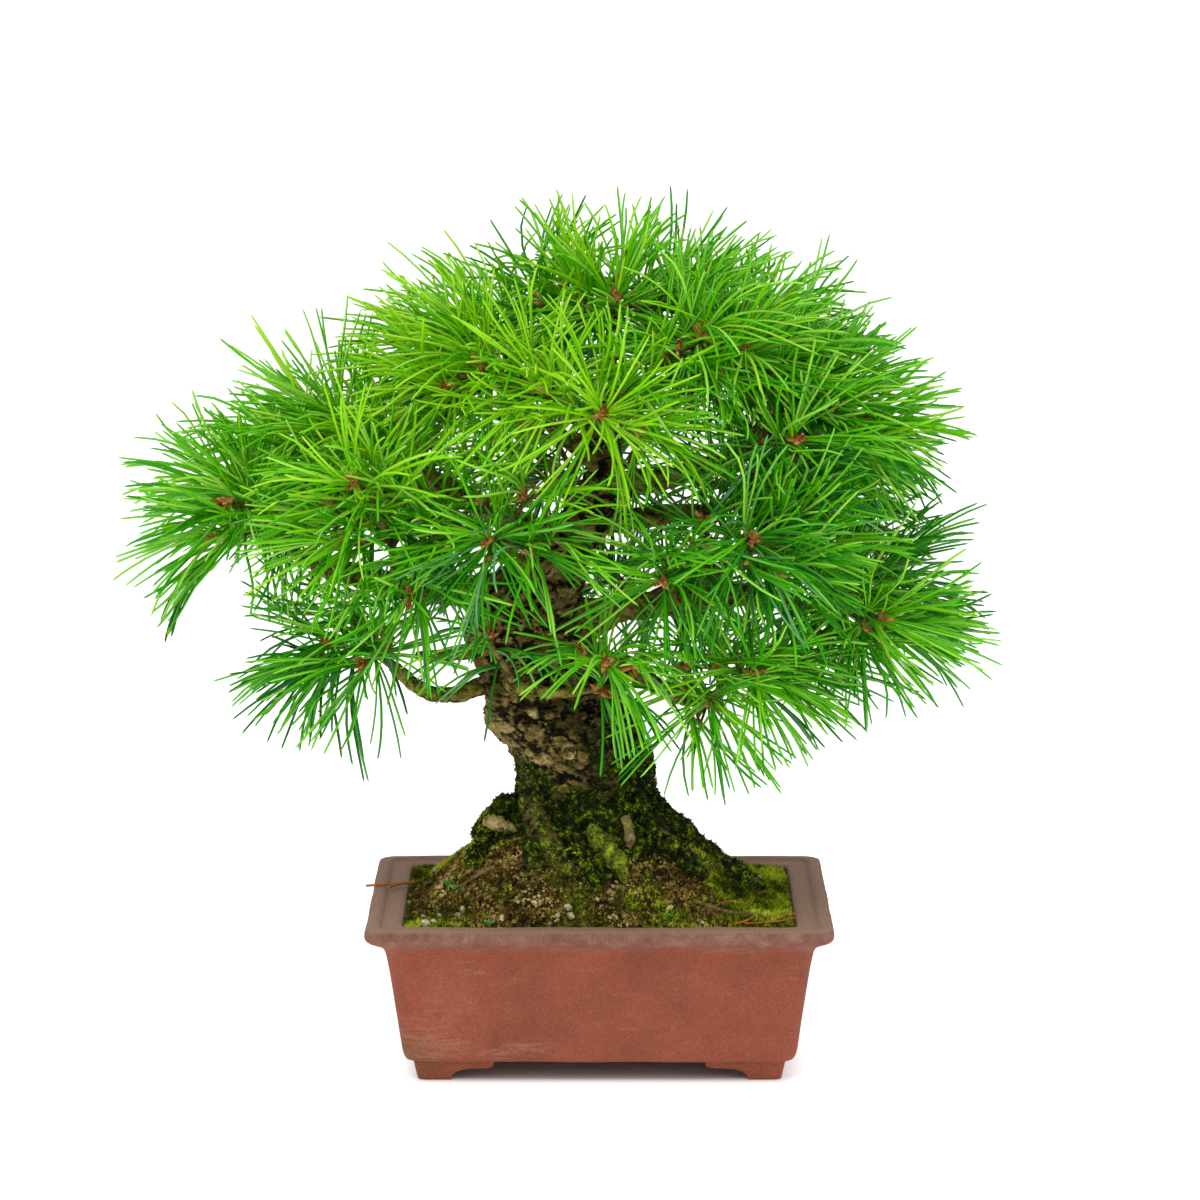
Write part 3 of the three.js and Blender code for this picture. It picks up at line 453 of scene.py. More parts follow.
def limb_tree():
    """Gives bare lines their round thickness, closed at both ends."""
    tree, into = geometry_tree("limb_along_line", sides="Int", finish="Material")
    curve = add(tree, "GeometryNodeMeshToCurve", {"Mesh": into["Geometry"]})
    thick = add(tree, "GeometryNodeInputNamedAttribute", {"Name": "thick"}, data_type="FLOAT")
    ring = add(tree, "GeometryNodeCurvePrimitiveCircle", {"Resolution": into["sides"], "Radius": 1.0})
    skin = add(tree, "GeometryNodeCurveToMesh", {
        "Curve": curve, "Profile Curve": ring, "Scale": thick, "Fill Caps": True})
    return end_tree(tree, skin, into["finish"])


def strew_tree():
    """Strews copies of a small shape over a surface, as thick as a named number there says."""
    tree, into = geometry_tree(
        "strewn_over_surface", shape="Object", where="String", density="Float", seed="Int",
        smallest="Float", largest="Float", finish="Material",
    )
    share = add(tree, "GeometryNodeInputNamedAttribute", {"Name": into["where"]}, data_type="FLOAT")
    often = add(tree, "ShaderNodeMath", (share, into["density"]), operation="MULTIPLY")
    strewn = add(tree, "GeometryNodeDistributePointsOnFaces", {
        "Mesh": into["Geometry"], "Density": often, "Seed": into["seed"]})
    shape = add(tree, "GeometryNodeObjectInfo", {"Object": into["shape"], "As Instance": True})
    turn = add(tree, "FunctionNodeRandomValue", {2: 0.0, 3: 6.283, "Seed": 5}, data_type="FLOAT").outputs[1]
    spin = add(tree, "FunctionNodeAxisAngleToRotation", {"Axis": (0, 0, 1), "Angle": turn})
    turned = add(tree, "FunctionNodeRotateRotation", {
        "Rotation": strewn.outputs["Rotation"], "Rotate By": spin}, rotation_space="LOCAL")
    size = add(tree, "FunctionNodeRandomValue", {2: into["smallest"], 3: into["largest"], "Seed": 9},
               data_type="FLOAT").outputs[1]
    set_down = add(tree, "GeometryNodeInstanceOnPoints", {
        "Points": strewn.outputs["Points"], "Instance": shape.outputs["Geometry"],
        "Rotation": turned, "Scale": size})
    return end_tree(tree, set_down, into["finish"])


def seat_tree():
    """Seats copies of a small shape on points, each of the size and along the way that its point gives."""
    tree, into = geometry_tree("seated_on_points", shape="Object", finish="Material")
    way = add(tree, "GeometryNodeInputNamedAttribute", {"Name": "way"}, data_type="FLOAT_VECTOR")
    size = add(tree, "GeometryNodeInputNamedAttribute", {"Name": "size"}, data_type="FLOAT")
    turn = add(tree, "FunctionNodeAlignRotationToVector", {"Vector": way}, axis="Z")
    shape = add(tree, "GeometryNodeObjectInfo", {"Object": into["shape"], "As Instance": True})
    copies = add(tree, "GeometryNodeInstanceOnPoints", {
        "Points": into["Geometry"], "Instance": shape.outputs["Geometry"], "Rotation": turn, "Scale": size})
    return end_tree(tree, copies, into["finish"])


def small_shape(name, points, faces):
    """A small shape round the origin, in millimetres, that is only there to be copied."""
    mesh = bpy.data.meshes.new(name)
    mesh.from_pydata((np.asarray(points, float) * MM).tolist(), [], faces)
    return placed(name, mesh)


def drop(*shapes):
    """Removes shapes that were only there to be copied."""
    for shape in shapes:
        bpy.data.objects.remove(shape)


def seated(name, places, ways, sizes, tree, shape, finish):
    """A piece of copies of a small shape on places, each along its own way and of its own size."""
    mesh = bpy.data.meshes.new(name)
    mesh.from_pydata(metres(places).tolist(), [], [])
    mark(mesh, way=ways, size=sizes)
    piece = grow(placed(name, mesh), tree, shape=shape, finish=finish)
    drop(shape)
    return piece


def finished(piece, slot, *nodes):
    """Hangs a piece on the plant and its pot, and hides the nodes that it stands for."""
    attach(piece, "root")
    if nodes:
        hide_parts(*nodes)
    return piece


# Colours and materials


def per(size):
    """How often a pattern of this size in millimetres comes round in a metre."""
    return 1 / (size * MM)


def shade(code):
    """An sRGB hex value as a linear colour."""
    parts = [int(code[i : i + 2], 16) / 255 for i in (0, 2, 4)]
    return (*[c / 12.92 if c <= 0.04045 else ((c + 0.055) / 1.055) ** 2.4 for c in parts], 1)


def new_material(name):
    """An empty material, its tree and its shader."""
    made = bpy.data.materials.new(name)
    made.use_nodes = True
    return made, made.node_tree, made.node_tree.nodes["Principled BSDF"]


# Share of the mirror-like reflection that is left where a surface is porous down to its finest grain
POROUS = 0.12


def unglazed_stoneware():
    """Red stoneware, pressed in a mould and fired bare: dull, clouded brick red with a fine sandy grain,
    rubbed pale in strokes toward its foot, damp and stained at its lower left, with dark specks, and
    grey-brown on the rim where hard water has dried, with painted light that makes the rim's flat top
    lighter. Its real sand is too fine to show, so its grains are drawn 0.9 mm wide."""
    made, tree, shader = new_material("unglazed_red_stoneware")
    place = add(tree, "ShaderNodeTexCoord").outputs["Object"]
    x, _, height = add(tree, "ShaderNodeSeparateXYZ", (place,)).outputs
    cloud, sand, edge = [
        add(tree, "ShaderNodeTexNoise", {
            "Vector": place, "Scale": per(size), "Detail": fine, "Roughness": rough})
        for size, fine, rough in ((36, 8, 0.72), (0.9, 4, 0.75), (7, 5, 0.65))]
    body = add(tree, "ShaderNodeValToRGB", {"Fac": cloud}, stops=[
        (0.28, "6e3725"), (0.45, "7b3e2a"), (0.6, "85442e"), (0.78, "8f543f")])
    grain = add(tree, "ShaderNodeMapRange", (sand, 0.3, 0.7, 0.68, 1.36))
    lifted = add(tree, "ShaderNodeMath", (edge, 7 * MM, height), operation="MULTIPLY_ADD")
    rim = add(tree, "ShaderNodeMapRange", (lifted, 63 * MM, 69 * MM, 0, 0.9))
    crust = add(tree, "ShaderNodeValToRGB", {"Fac": edge}, stops=[
        (0.3, "603f34"), (0.5, "765246"), (0.68, "896555")])
    # Painted light: the rim's flat top is painted lighter than its crust
    level = add(tree, "ShaderNodeAttribute", attribute_name="level").outputs["Fac"]
    rim_crust_and_painted_light = add(tree, "ShaderNodeMix", {0: level, 6: crust, 7: shade("a2806f")}, data_type="RGBA")
    tone = add(tree, "ShaderNodeMix", {0: rim, 6: body, 7: rim_crust_and_painted_light.outputs[2]}, data_type="RGBA").outputs[2]
    slanted = add(tree, "ShaderNodeMapping", {
        "Vector": place, "Rotation": (0, math.radians(24), 0), "Scale": (0.7, 1, 3.6)})
    stroke = add(tree, "ShaderNodeTexNoise", {
        "Vector": slanted, "Scale": per(18), "Detail": 9, "Roughness": 0.8})
    low = add(tree, "ShaderNodeValToRGB", {"Fac": height}, stops=[
        (0, "000000"), (9 * MM, "000000"), (13 * MM, "ffffff"), (40 * MM, "000000")])
    across = add(tree, "ShaderNodeMapRange", (x, 20 * MM, -60 * MM, 0.02, 0.16))
    often = add(tree, "ShaderNodeMath", (low, across, stroke), operation="MULTIPLY_ADD")
    rubbed = add(tree, "ShaderNodeMapRange", (often, 0.58, 0.76, 0, 0.28))
    side = add(tree, "ShaderNodeMapRange", (x, -48 * MM, -70 * MM, 0, 1))
    foot = add(tree, "ShaderNodeMapRange", (height, 24 * MM, 12 * MM, 0, 1))
    damp = add(tree, "ShaderNodeMath", (side, foot), operation="MULTIPLY")
    spread = add(tree, "ShaderNodeMath", (damp, edge), operation="MULTIPLY")
    fleck = add(tree, "ShaderNodeTexVoronoi", {"Vector": place, "Scale": per(6)}).outputs["Distance"]
    speck = add(tree, "ShaderNodeMapRange", (fleck, 0.03, 0.09, 0.5, 0))
    for share, stain in ((rubbed, "bf9480"), (spread, "5c4a24"), (speck, "4a2c22")):
        tone = add(tree, "ShaderNodeMix", {0: share, 6: tone, 7: shade(stain)}, data_type="RGBA").outputs[2]
    sandy = add(tree, "ShaderNodeVectorMath", {0: tone, "Scale": grain}, operation="SCALE")
    bump = add(tree, "ShaderNodeBump", {"Strength": 0.7, "Distance": 0.3 * MM, "Height": sand})
    dull = add(tree, "ShaderNodeMapRange", {0: cloud, 3: 0.7, 4: 0.88})
    plug(tree, shader, {
        "Base Color": sandy, "Normal": bump, "Roughness": dull, "IOR": 1.52, "Specular IOR Level": 0.3})
    return made


def potting_grit():
    """Fired clay grit gone brown with algae: crumbs of dark, gold and tan, greener where moss has crept."""
    made, tree, shader = new_material("algae_stained_clay_grit")
    place = add(tree, "ShaderNodeTexCoord").outputs["Object"]
    crumb = add(tree, "ShaderNodeTexVoronoi", {"Vector": place, "Scale": per(1.9)})
    pick = add(tree, "ShaderNodeSeparateXYZ", (crumb.outputs["Color"],))
    tone = add(tree, "ShaderNodeValToRGB", {"Fac": pick}, stops=[
        (0.1, "130f04"), (0.45, "36290c"), (0.75, "5e4b1b"), (0.97, "a08548")])
    patch = add(tree, "ShaderNodeTexNoise", {"Vector": place, "Scale": per(11), "Detail": 5})
    damp = add(tree, "ShaderNodeMapRange", (patch, 0.35, 0.65, 0.3, 1.9))
    tone = add(tree, "ShaderNodeVectorMath", {0: tone, "Scale": damp}, operation="SCALE")
    creep = add(tree, "ShaderNodeAttribute", attribute_name="moss").outputs["Fac"]
    green = add(tree, "ShaderNodeMath", (patch, creep), operation="MULTIPLY")
    share = add(tree, "ShaderNodeMapRange", (green, 0.05, 0.45, 0.08, 0.85))
    mixed = add(tree, "ShaderNodeMix", {0: share, 6: tone, 7: shade("3a4606")}, data_type="RGBA")
    bump = add(tree, "ShaderNodeBump", {
        "Strength": 0.8, "Distance": 0.7 * MM, "Height": crumb.outputs["Distance"]})
    plug(tree, shader, {
        "Base Color": mixed.outputs[2], "Normal": bump, "Roughness": 0.93, "Specular IOR Level": POROUS})
    return made


def speckled(name, grain, stops, rough):
    """A natural porous surface: colour that runs through stops in grains of a size and in broader patches."""
    made, tree, shader = new_material(name)
    place = add(tree, "ShaderNodeTexCoord").outputs["Object"]
    grains = add(tree, "ShaderNodeTexNoise", {
        "Vector": place, "Scale": per(grain), "Detail": 4, "Roughness": 0.65})
    broad = add(tree, "ShaderNodeTexNoise", {"Vector": place, "Scale": per(5 * grain), "Detail": 2})
    shift = add(tree, "ShaderNodeMapRange", (broad, 0.34, 0.66, -0.17, 0.17))
    mixed = add(tree, "ShaderNodeMath", (grains, shift))
    tone = add(tree, "ShaderNodeValToRGB", {"Fac": mixed}, stops=stops)
    bump = add(tree, "ShaderNodeBump", {"Strength": 0.6, "Distance": 0.3 * MM, "Height": grains})
    plug(tree, shader, {"Base Color": tone, "Normal": bump, "Roughness": rough, "Specular IOR Level": POROUS})
    return made


def pine_bark():
    """Old white pine bark: dark flaking plates, near black in the cracks from their own darker bark and
    painted shade, and lighter on every raised edge as painted light, tan where the outer scales have come
    off, with a green film of lichen and algae, and moss that climbs from the roots."""
    made, tree, shader = new_material("scaly_white_pine_bark")
    place = add(tree, "ShaderNodeTexCoord").outputs["Object"]
    sloping = add(tree, "ShaderNodeMapping", {
        "Vector": place, "Rotation": (0, 0.4, 0), "Scale": (0.8, 0.8, 2.2)})
    scales = add(tree, "ShaderNodeTexNoise", {
        "Vector": sloping, "Scale": per(5), "Detail": 8, "Roughness": 0.75})
    height, bare, crack, creep, algae = [
        add(tree, "ShaderNodeAttribute", attribute_name=label).outputs["Fac"]
        for label in ("raised", "bare", "crack", "moss", "algae")]
    # Painted light and shade: raised parts of the relief are painted lighter, its hollows darker
    edges = add(tree, "ShaderNodeMapRange", (height, -0.6 * MM, 2.8 * MM, -0.26, 0.28))
    lit = add(tree, "ShaderNodeMath", (scales, edges))
    wear_and_painted_relief_light = add(tree, "ShaderNodeMath", (bare, 0.2, lit), operation="MULTIPLY_ADD")
    tone = add(tree, "ShaderNodeValToRGB", {"Fac": wear_and_painted_relief_light}, stops=[
        (0.3, "161106"), (0.44, "43371a"), (0.57, "735f33"), (0.7, "a08853"),
        (0.9, "c2b78a")])
    patch, tuft = [
        add(tree, "ShaderNodeTexNoise", {
            "Vector": place, "Scale": per(size), "Detail": 6, "Roughness": rough})
        for size, rough in ((12, 0.66), (3.2, 0.72))]
    film = add(tree, "ShaderNodeMapRange", (patch, 0.46, 0.6, 0, 0.6))
    kept = add(tree, "ShaderNodeMath", (1.0, bare), operation="SUBTRACT", use_clamp=True)
    lichen = add(tree, "ShaderNodeMath", (film, kept), operation="MULTIPLY")
    # The cracks painted near black: their own darker bark, and painted shade
    dark = add(tree, "ShaderNodeMath", (crack, 0.9), operation="MULTIPLY")
    uneven = add(tree, "ShaderNodeMath", (tuft, 0.9, creep), operation="MULTIPLY_ADD")
    mossy = add(tree, "ShaderNodeMapRange", (uneven, 0.72, 1.05, 0, 0.95))
    velvet = add(tree, "ShaderNodeValToRGB", {"Fac": tuft}, stops=[
        (0.4, "060901"), (0.52, "1f2a03"), (0.6, "586d08"), (0.72, "b2c22c")])
    slick = add(tree, "ShaderNodeMath", (algae, tuft), operation="MULTIPLY")
    bloom = add(tree, "ShaderNodeMapRange", (slick, 0.24, 0.42, 0, 0.75))
    for share, colour in (
        (lichen, shade("4b5420")), (dark, shade("090602")), (mossy, velvet), (bloom, shade("a2b62c")),
    ):
        tone = add(tree, "ShaderNodeMix", {0: share, 6: tone, 7: colour}, data_type="RGBA").outputs[2]
    bump = add(tree, "ShaderNodeBump", {"Strength": 0.9, "Distance": 1.1 * MM, "Height": scales})
    plug(tree, shader, {"Base Color": tone, "Normal": bump, "Roughness": 0.92, "Specular IOR Level": POROUS})
    return made


def needle_green(name, code, rough):
    """A living pine needle, waxy over one plain green: the colour is dealt out by the spray, and carries
    painted light and shade, so each green is a material of its own, and the wax only varies its gloss."""
    made, tree, shader = new_material(name)
    place = add(tree, "ShaderNodeTexCoord").outputs["Object"]
    wax = add(tree, "ShaderNodeTexNoise", {"Vector": place, "Scale": per(9), "Detail": 2})
    gloss = add(tree, "ShaderNodeMapRange", {0: wax, 3: rough - 0.1, 4: rough + 0.1})
    plug(tree, shader, {
        "Base Color": shade(code), "Roughness": gloss, "IOR": 1.45, "Specular IOR Level": 0.25})
    return made


def small_finishes():
    """Finishes of the small porous things: grain in millimetres, colours from dark to pale, and dullness.
    The line over each says what it gives the eye. Grains and leaves that are finer than a millimetre or two
    are drawn as coarse as they need to show."""
    rows = {
        # Rust brown to tan, with a little of the wax's gloss left
        "dead": ("dry_fallen_needle", 3, [(0.3, "8a4a1c"), (0.7, "c07a3c")], 0.6),
        # Olive brown with paler scars, dull
        "twig": ("young_pine_twig_bark", 1.6, [(0.3, "3d3216"), (0.5, "6e5a34"), (0.72, "8d7a50")], 0.85),
        # Tender bright green, a little glossy
        "seedling": ("soft_seedling_leaf", 2, [(0.3, "2f7a1a"), (0.7, "68b048")], 0.5),
        # Thin dry scales, red-brown with pale tan edges
        "bud": ("papery_bud_scale", 1.2, [(0.3, "70371a"), (0.5, "ad6a34"), (0.72, "e0b074")], 0.7),
        # Chalky off-white with pores that look grey
        "pumice": ("bleached_pumice", 1.2, [(0.3, "7d7250"), (0.5, "b5aa86"), (0.7, "d8d0b4")], 0.9),
        # Broken clay from nearly black to pale tan, with no gloss
        "crumb": ("fired_clay_crumb", 2.5, [
            (0.32, "21170a"), (0.48, "60481f"), (0.6, "a08450"), (0.74, "d4bf92")], 0.95),
        # Moss dried to straw and brown, matt
        "dry_moss": ("dried_moss", 5, [
            (0.34, "241c07"), (0.46, "565014"), (0.56, "8c742a"), (0.68, "c8a856")], 0.9),
        # Live moss, velvety yellow-green with dark gaps between its leaves
        "moss": ("cushion_moss", 3.4, [
            (0.33, "2b3505"), (0.45, "627309"), (0.57, "9fb018"), (0.68, "cbd840")], 0.85),
        # Moss in the shade, nearly black green with lit tips
        "dark_moss": ("shaded_cushion_moss", 5.5, [
            (0.4, "080d01"), (0.5, "222f03"), (0.6, "5c750a"), (0.7, "b4c62a")], 0.88),
    }
    return {label: speckled(*row) for label, row in rows.items()}


# The pot


def pot_ring(inset, height, corner, arc_steps=9, long_steps=40, wide_steps=30):
    """A rounded rectangle at one height, so far inside the rim's outline."""
    half_x, half_y = POT_LENGTH / 2 - inset - corner, POT_WIDTH / 2 - inset - corner
    ring = []
    for side, (sx, sy) in enumerate(((1, 1), (-1, 1), (-1, -1), (1, -1))):
        angles = (side + np.linspace(0, 1, arc_steps + 1)) * math.pi / 2
        arc = [(sx * half_x + corner * math.cos(a), sy * half_y + corner * math.sin(a), height)
               for a in angles]
        steps = long_steps if side % 2 == 0 else wide_steps
        reach = -2 * sx * half_x * (side % 2 == 0), -2 * sy * half_y * (side % 2)
        straight = [(arc[-1][0] + reach[0] * s, arc[-1][1] + reach[1] * s, height)
                    for s in np.arange(1, steps) / steps]
        ring += arc + straight
    return np.array(ring)


def rounded_rows(rows, step):
    """Rows on the curve through rows that rounds every corner a little, about a step apart."""
    rows = np.asarray(rows, float)
    padded = np.vstack([2 * rows[0] - rows[1], rows, 2 * rows[-1] - rows[-2]])
    made = []
    for i in range(len(rows) - 1):
        p = padded[i : i + 4]
        length = [max(np.linalg.norm(p[k + 1][:2] - p[k][:2]), 1e-6) for k in range(3)]
        t = np.concatenate([[0], np.cumsum(np.sqrt(length))])
        count = max(2, int(length[1] / step))
        for at in np.linspace(t[1], t[2], count, endpoint=False):
            a = [(p[k] * (t[k + 1] - at) + p[k + 1] * (at - t[k])) / (t[k + 1] - t[k]) for k in range(3)]
            b = [(a[k] * (t[k + 2] - at) + a[k + 1] * (at - t[k])) / (t[k + 2] - t[k]) for k in range(2)]
            made.append((b[0] * (t[2] - at) + b[1] * (at - t[1])) / (t[2] - t[1]))
    return made + [rows[-1]]


def make_pot(relief, clay):
    """The pot with its stepped rim and two drain holes, pressed a little uneven."""
    rings = rounded_rows(POT_PROFILE, 2.2)
    points, faces = loft([pot_ring(*row) for row in rings])
    # Painted light: the share of the rim's flat top that the clay paints lighter
    flat = [0.8 * smooth(0, 1.6, inset) * smooth(67.6, 68.6, height) for inset, height, _ in rings]
    level = np.repeat(flat, len(points) // len(rings))
    pot = mesh_piece("pot_clay", points, faces, fade=np.ones(len(points)), level=level)
    grow(pot, relief, plate_width=1.0, plate_height=1.0, lump_size=38 * MM, lump_height=1.3 * MM,
         grain_size=6 * MM, grain_height=0.28 * MM, finish=clay)
    cutters = []
    for side in (-1, 1):
        turn = np.linspace(0, 2 * math.pi, 48, endpoint=False)
        ring = np.stack([side * DRAIN_FROM_MIDDLE + DRAIN_RADIUS * np.cos(turn), DRAIN_RADIUS * np.sin(turn),
                         np.zeros(48)], 1)
        points, faces = loft([ring + (0, 0, 4), ring + (0, 0, 24)])
        cutters.append(mesh_piece(f"cutter_{side}", points, faces))
        cut = pot.modifiers.new("drain", "BOOLEAN")
        cut.object = cutters[-1]
        cut.operation = "DIFFERENCE"
        cut.solver = "EXACT"
    keep_mesh(pot)
    drop(*cutters)
    return finished(pot, "clay", "pot")


def make_feet(clay):
    """Four bracket feet whose two legs arch up to the pot's underside."""
    points, faces = [], []
    corner = (POT_LENGTH / 2 - FOOT_INSET, POT_WIDTH / 2 - FOOT_INSET)
    for sx in (-1, 1):
        for sy in (-1, 1):
            rings = []
            for height, share in rounded_rows(FOOT_ARCH, 0.8):
                leg, w = FOOT_PAD + share * (FOOT_REACH - FOOT_PAD), FOOT_WALL
                lean = FOOT_BATTER * (1 - height / FOOT_HEIGHT)
                outline = [
                    (0, 3), (0.4, 1.4), (1.4, 0.4), (3, 0), (leg, 0), (leg, w), (w, w), (w, leg), (0, leg)]
                ring = [(sx * (corner[0] - lean - x), sy * (corner[1] - lean - y), height + 0.05)
                        for x, y in outline]
                rings.append(ring if sx * sy > 0 else ring[::-1])
            foot_points, foot_faces = loft(rings)
            faces += [tuple(len(points) + i for i in face) for face in foot_faces]
            points += list(foot_points)
    feet = mesh_piece("feet_clay", points, faces)
    edge = feet.modifiers.new("worn_edges", "BEVEL")
    edge.width = 0.5 * MM
    edge.segments = 2
    edge.angle_limit = math.radians(40)
    feet.data.materials.append(clay)
    keep_mesh(feet)
    names = [f"foot_{row}_{side}" for row in ("front", "back") for side in ("left", "right")]
    return finished(feet, "clay", *names)


# The ground


def ground_height(x, y):
    """The height of the ground: level at the rim and a mound at the trunk."""
    away = np.hypot((x - SOIL_X) / SOIL_HALF_X, (y - SOIL_Y) / SOIL_HALF_Y)
    mound = SOIL_MOUND * (1 - smooth(0.4, 1.15, away))
    edge = np.maximum(np.abs(x) / (POT_LENGTH / 2 - 16), np.abs(y) / (POT_WIDTH / 2 - 16))
    ripple = 0.9 * np.sin(0.11 * x + 1) * np.cos(0.13 * y) + 0.6 * np.sin(0.23 * y - 0.17 * x)
    return SOIL_EDGE + (SOIL_RISE + ripple) * (1 - smooth(0.8, 1, edge)) + mound


def ground_moss(x, y):
    """The share of moss on the ground: thick at the right, in the left corners and behind, thin in front."""
    right = smooth(34, 58, x)
    left = smooth(-46, -66, x) * np.maximum(smooth(-8, 12, y), smooth(-34, -50, y))
    front = 0.75 * smooth(-40, -52, y) * smooth(-30, -8, x)
    behind = smooth(10, 30, y)
    patches = wave(np.stack([x, y, 0 * x], -1), 17, 4)
    return np.clip(np.maximum.reduce([right, left, front, behind]) + 0.45 * patches, 0.08, 1)


def ground_sheet(half_x, half_y, corner=3.2, step=0.85):
    """Points and faces of the ground's uneven top with rounded corners, and the points round its border."""
    xs = np.linspace(-half_x, half_x, int(2 * half_x / step))
    ys = np.linspace(-half_y, half_y, int(2 * half_y / step))
    x, y = [grid.ravel() for grid in np.meshgrid(xs, ys)]
    over_x, over_y = np.abs(x) - (half_x - corner), np.abs(y) - (half_y - corner)
    bent = (over_x > 0) & (over_y > 0)
    pull = np.where(bent, np.maximum(over_x, over_y) / np.maximum(np.hypot(over_x, over_y), 1e-6), 1)
    x = np.where(bent, np.sign(x) * (half_x - corner + over_x * pull), x)
    y = np.where(bent, np.sign(y) * (half_y - corner + over_y * pull), y)
    columns, rows = len(xs), len(ys)
    faces = [(r * columns + c, r * columns + c + 1, (r + 1) * columns + c + 1, (r + 1) * columns + c)
             for r in range(rows - 1) for c in range(columns - 1)]
    border = [*range(columns), *[r * columns + columns - 1 for r in range(1, rows)],
              *[(rows - 1) * columns + c for c in range(columns - 2, -1, -1)],
              *[r * columns for r in range(rows - 2, 0, -1)]]
    return np.stack([x, y, ground_height(x, y)], 1), faces, border


def make_ground(relief, grit):
    """The soil's uneven top inside the pot's wall, closed below."""
    half_x, half_y = POT_LENGTH / 2 - SOIL_WALL, POT_WIDTH / 2 - SOIL_WALL
    points, faces, border = ground_sheet(half_x, half_y)
    x, y, _ = points.T
    foot = points[border] * (0.985, 0.985, 0) + (0, 0, SOIL_FOOT)
    count = len(border)
    faces += [(border[i], len(points) + i, len(points) + (i + 1) % count, border[(i + 1) % count])
              for i in range(count)]
    faces.append(tuple(len(points) + i for i in range(count))[::-1])
    moss = ground_moss(x, y)
    wall = np.maximum(np.abs(x) / half_x, np.abs(y) / half_y)
    under_trunk = smooth(26, 32, np.hypot(x + 6, y))
    marks = {
        "moss": moss, "fade": 1 - 0.9 * smooth(0.985, 1, wall),
        "grit": (1.1 - moss) * under_trunk * (wall < 0.97),
        "carpet": moss**1.6 * under_trunk * (wall < 0.985)}
    marks = {label: np.concatenate([values, np.zeros(count)]) for label, values in marks.items()}
    ground = mesh_piece("soil_grit", np.vstack([points, foot]), faces, **marks)
    grow(ground, relief, plate_width=1.0, plate_height=1.0, lump_size=8 * MM, lump_height=3.4 * MM,
         grain_size=1.8 * MM, grain_height=2.2 * MM, finish=grit)
    return finished(ground, "earth", "soil")


def moss_shoot():
    """A shoot of cushion moss: a few thin leaves that spread from one root."""
    points, faces = [], []
    for i in range(5):
        turn, lean, length = i * GOLDEN, (0.15, 0.5, 0.75, 0.9, 1)[i], (2.1, 1.9, 1.6, 1.5, 1.4)[i]
        way = unit((lean * math.cos(turn), lean * math.sin(turn), 1))
        side = unit(np.cross(way, (0, 0, 1)) if lean > 0.2 else (1, 0, 0)) * 0.34
        flat = unit(np.cross(way, side)) * 0.26
        start = len(points)
        points += [side - way * 0.4, -side - way * 0.4, flat - way * 0.4, way * length]
        faces += [(start, start + 1, start + 3), (start + 1, start + 2, start + 3),
                  (start + 2, start, start + 3), (start + 2, start + 1, start)]
    return small_shape("moss_shoot", points, faces)


def crumb(name, seed, squash):
    """An irregular crumb of twenty flat faces, about a millimetre in half width."""
    g = (1 + 5**0.5) / 2
    corners = unit([(0, 1, g), (0, -1, g), (0, 1, -g), (0, -1, -g), (1, g, 0), (-1, g, 0), (1, -g, 0),
                    (-1, -g, 0), (g, 0, 1), (g, 0, -1), (-g, 0, 1), (-g, 0, -1)])
    faces = [(0, 1, 8), (0, 10, 1), (0, 4, 5), (0, 8, 4), (0, 5, 10), (1, 7, 6), (1, 6, 8), (1, 10, 7),
             (2, 3, 11), (2, 9, 3), (2, 5, 4), (2, 4, 9), (2, 11, 5), (3, 6, 7), (3, 9, 6), (3, 7, 11),
             (4, 8, 9), (5, 11, 10), (6, 9, 8), (7, 10, 11)]
    chance = np.random.default_rng(seed)
    rough = corners * chance.uniform(0.72, 1.18, (12, 1)) * squash + (0, 0, 0.25)
    return small_shape(name, rough, faces)


def strew(name, surface, tree, slot, **values):
    """A piece of small shapes strewn over a copy of another piece's surface."""
    return finished(grow(placed(name, surface.data.copy()), tree, **values), slot)


def lying_line(x0, y0, x1, y1, bow, lift, count=9):
    """A line that lies on the ground between two places, bowed to one side."""
    share = np.linspace(0, 1, count)
    side = unit((y0 - y1, x1 - x0)) * bow
    arch = np.sin(share * math.pi)
    x = x0 + (x1 - x0) * share + side[0] * arch
    y = y0 + (y1 - y0) * share + side[1] * arch
    inside = (np.abs(x) < POT_LENGTH / 2 - SOIL_WALL) & (np.abs(y) < POT_WIDTH / 2 - SOIL_WALL)
    z = np.where(inside, np.maximum(ground_height(x, y), 69), 70) + lift
    return np.stack([x, y, np.convolve(np.pad(z, 1, mode="edge"), (0.25, 0.5, 0.25), "valid")], 1)


# Fallen needles that show, then a few out of sight: both ends and the bow
FALLEN = [
    (-103, 9, -66, 27, -2), (-93, 6, -70, 24, 3), (58, -61, 85, -42, 4), (62, -58, 84, -47, -3),
    (50, -40, 66, -30, 3), (70, 20, 52, 34, -4), (-60, 44, -34, 52, 3), (12, 50, 40, 44, -3),
    (-72, 0, -52, 12, 2),
]
# Bleached pebbles of pumice: across, along and half width
PEBBLES = [
    (-13.5, -50.5, 2.1), (-12.4, -54, 2.3), (-17.5, -52.5, 1.5), (30.6, -46, 2), (-74.6, -55, 2.3),
    (-71, -52.5, 1.6), (-69, -47, 1.3), (-42, -52, 1.6), (-1, -49, 1.3), (-59, -41, 1.4), (-61, -47, 1.6),
    (-76, -43, 1.3),
    (6, -44, 1.1), (-21, -56, 1.2), (-35, -45, 1.1), (44, -53, 1.2), (-64, 30, 1.8), (-58, 44, 1.5),
    (18, 52, 1.9), (33, 47, 1.4), (60, 50, 1.6), (-20, 54, 1.3), (70, 8, 1.4), (-72, 8, 1.6),
]


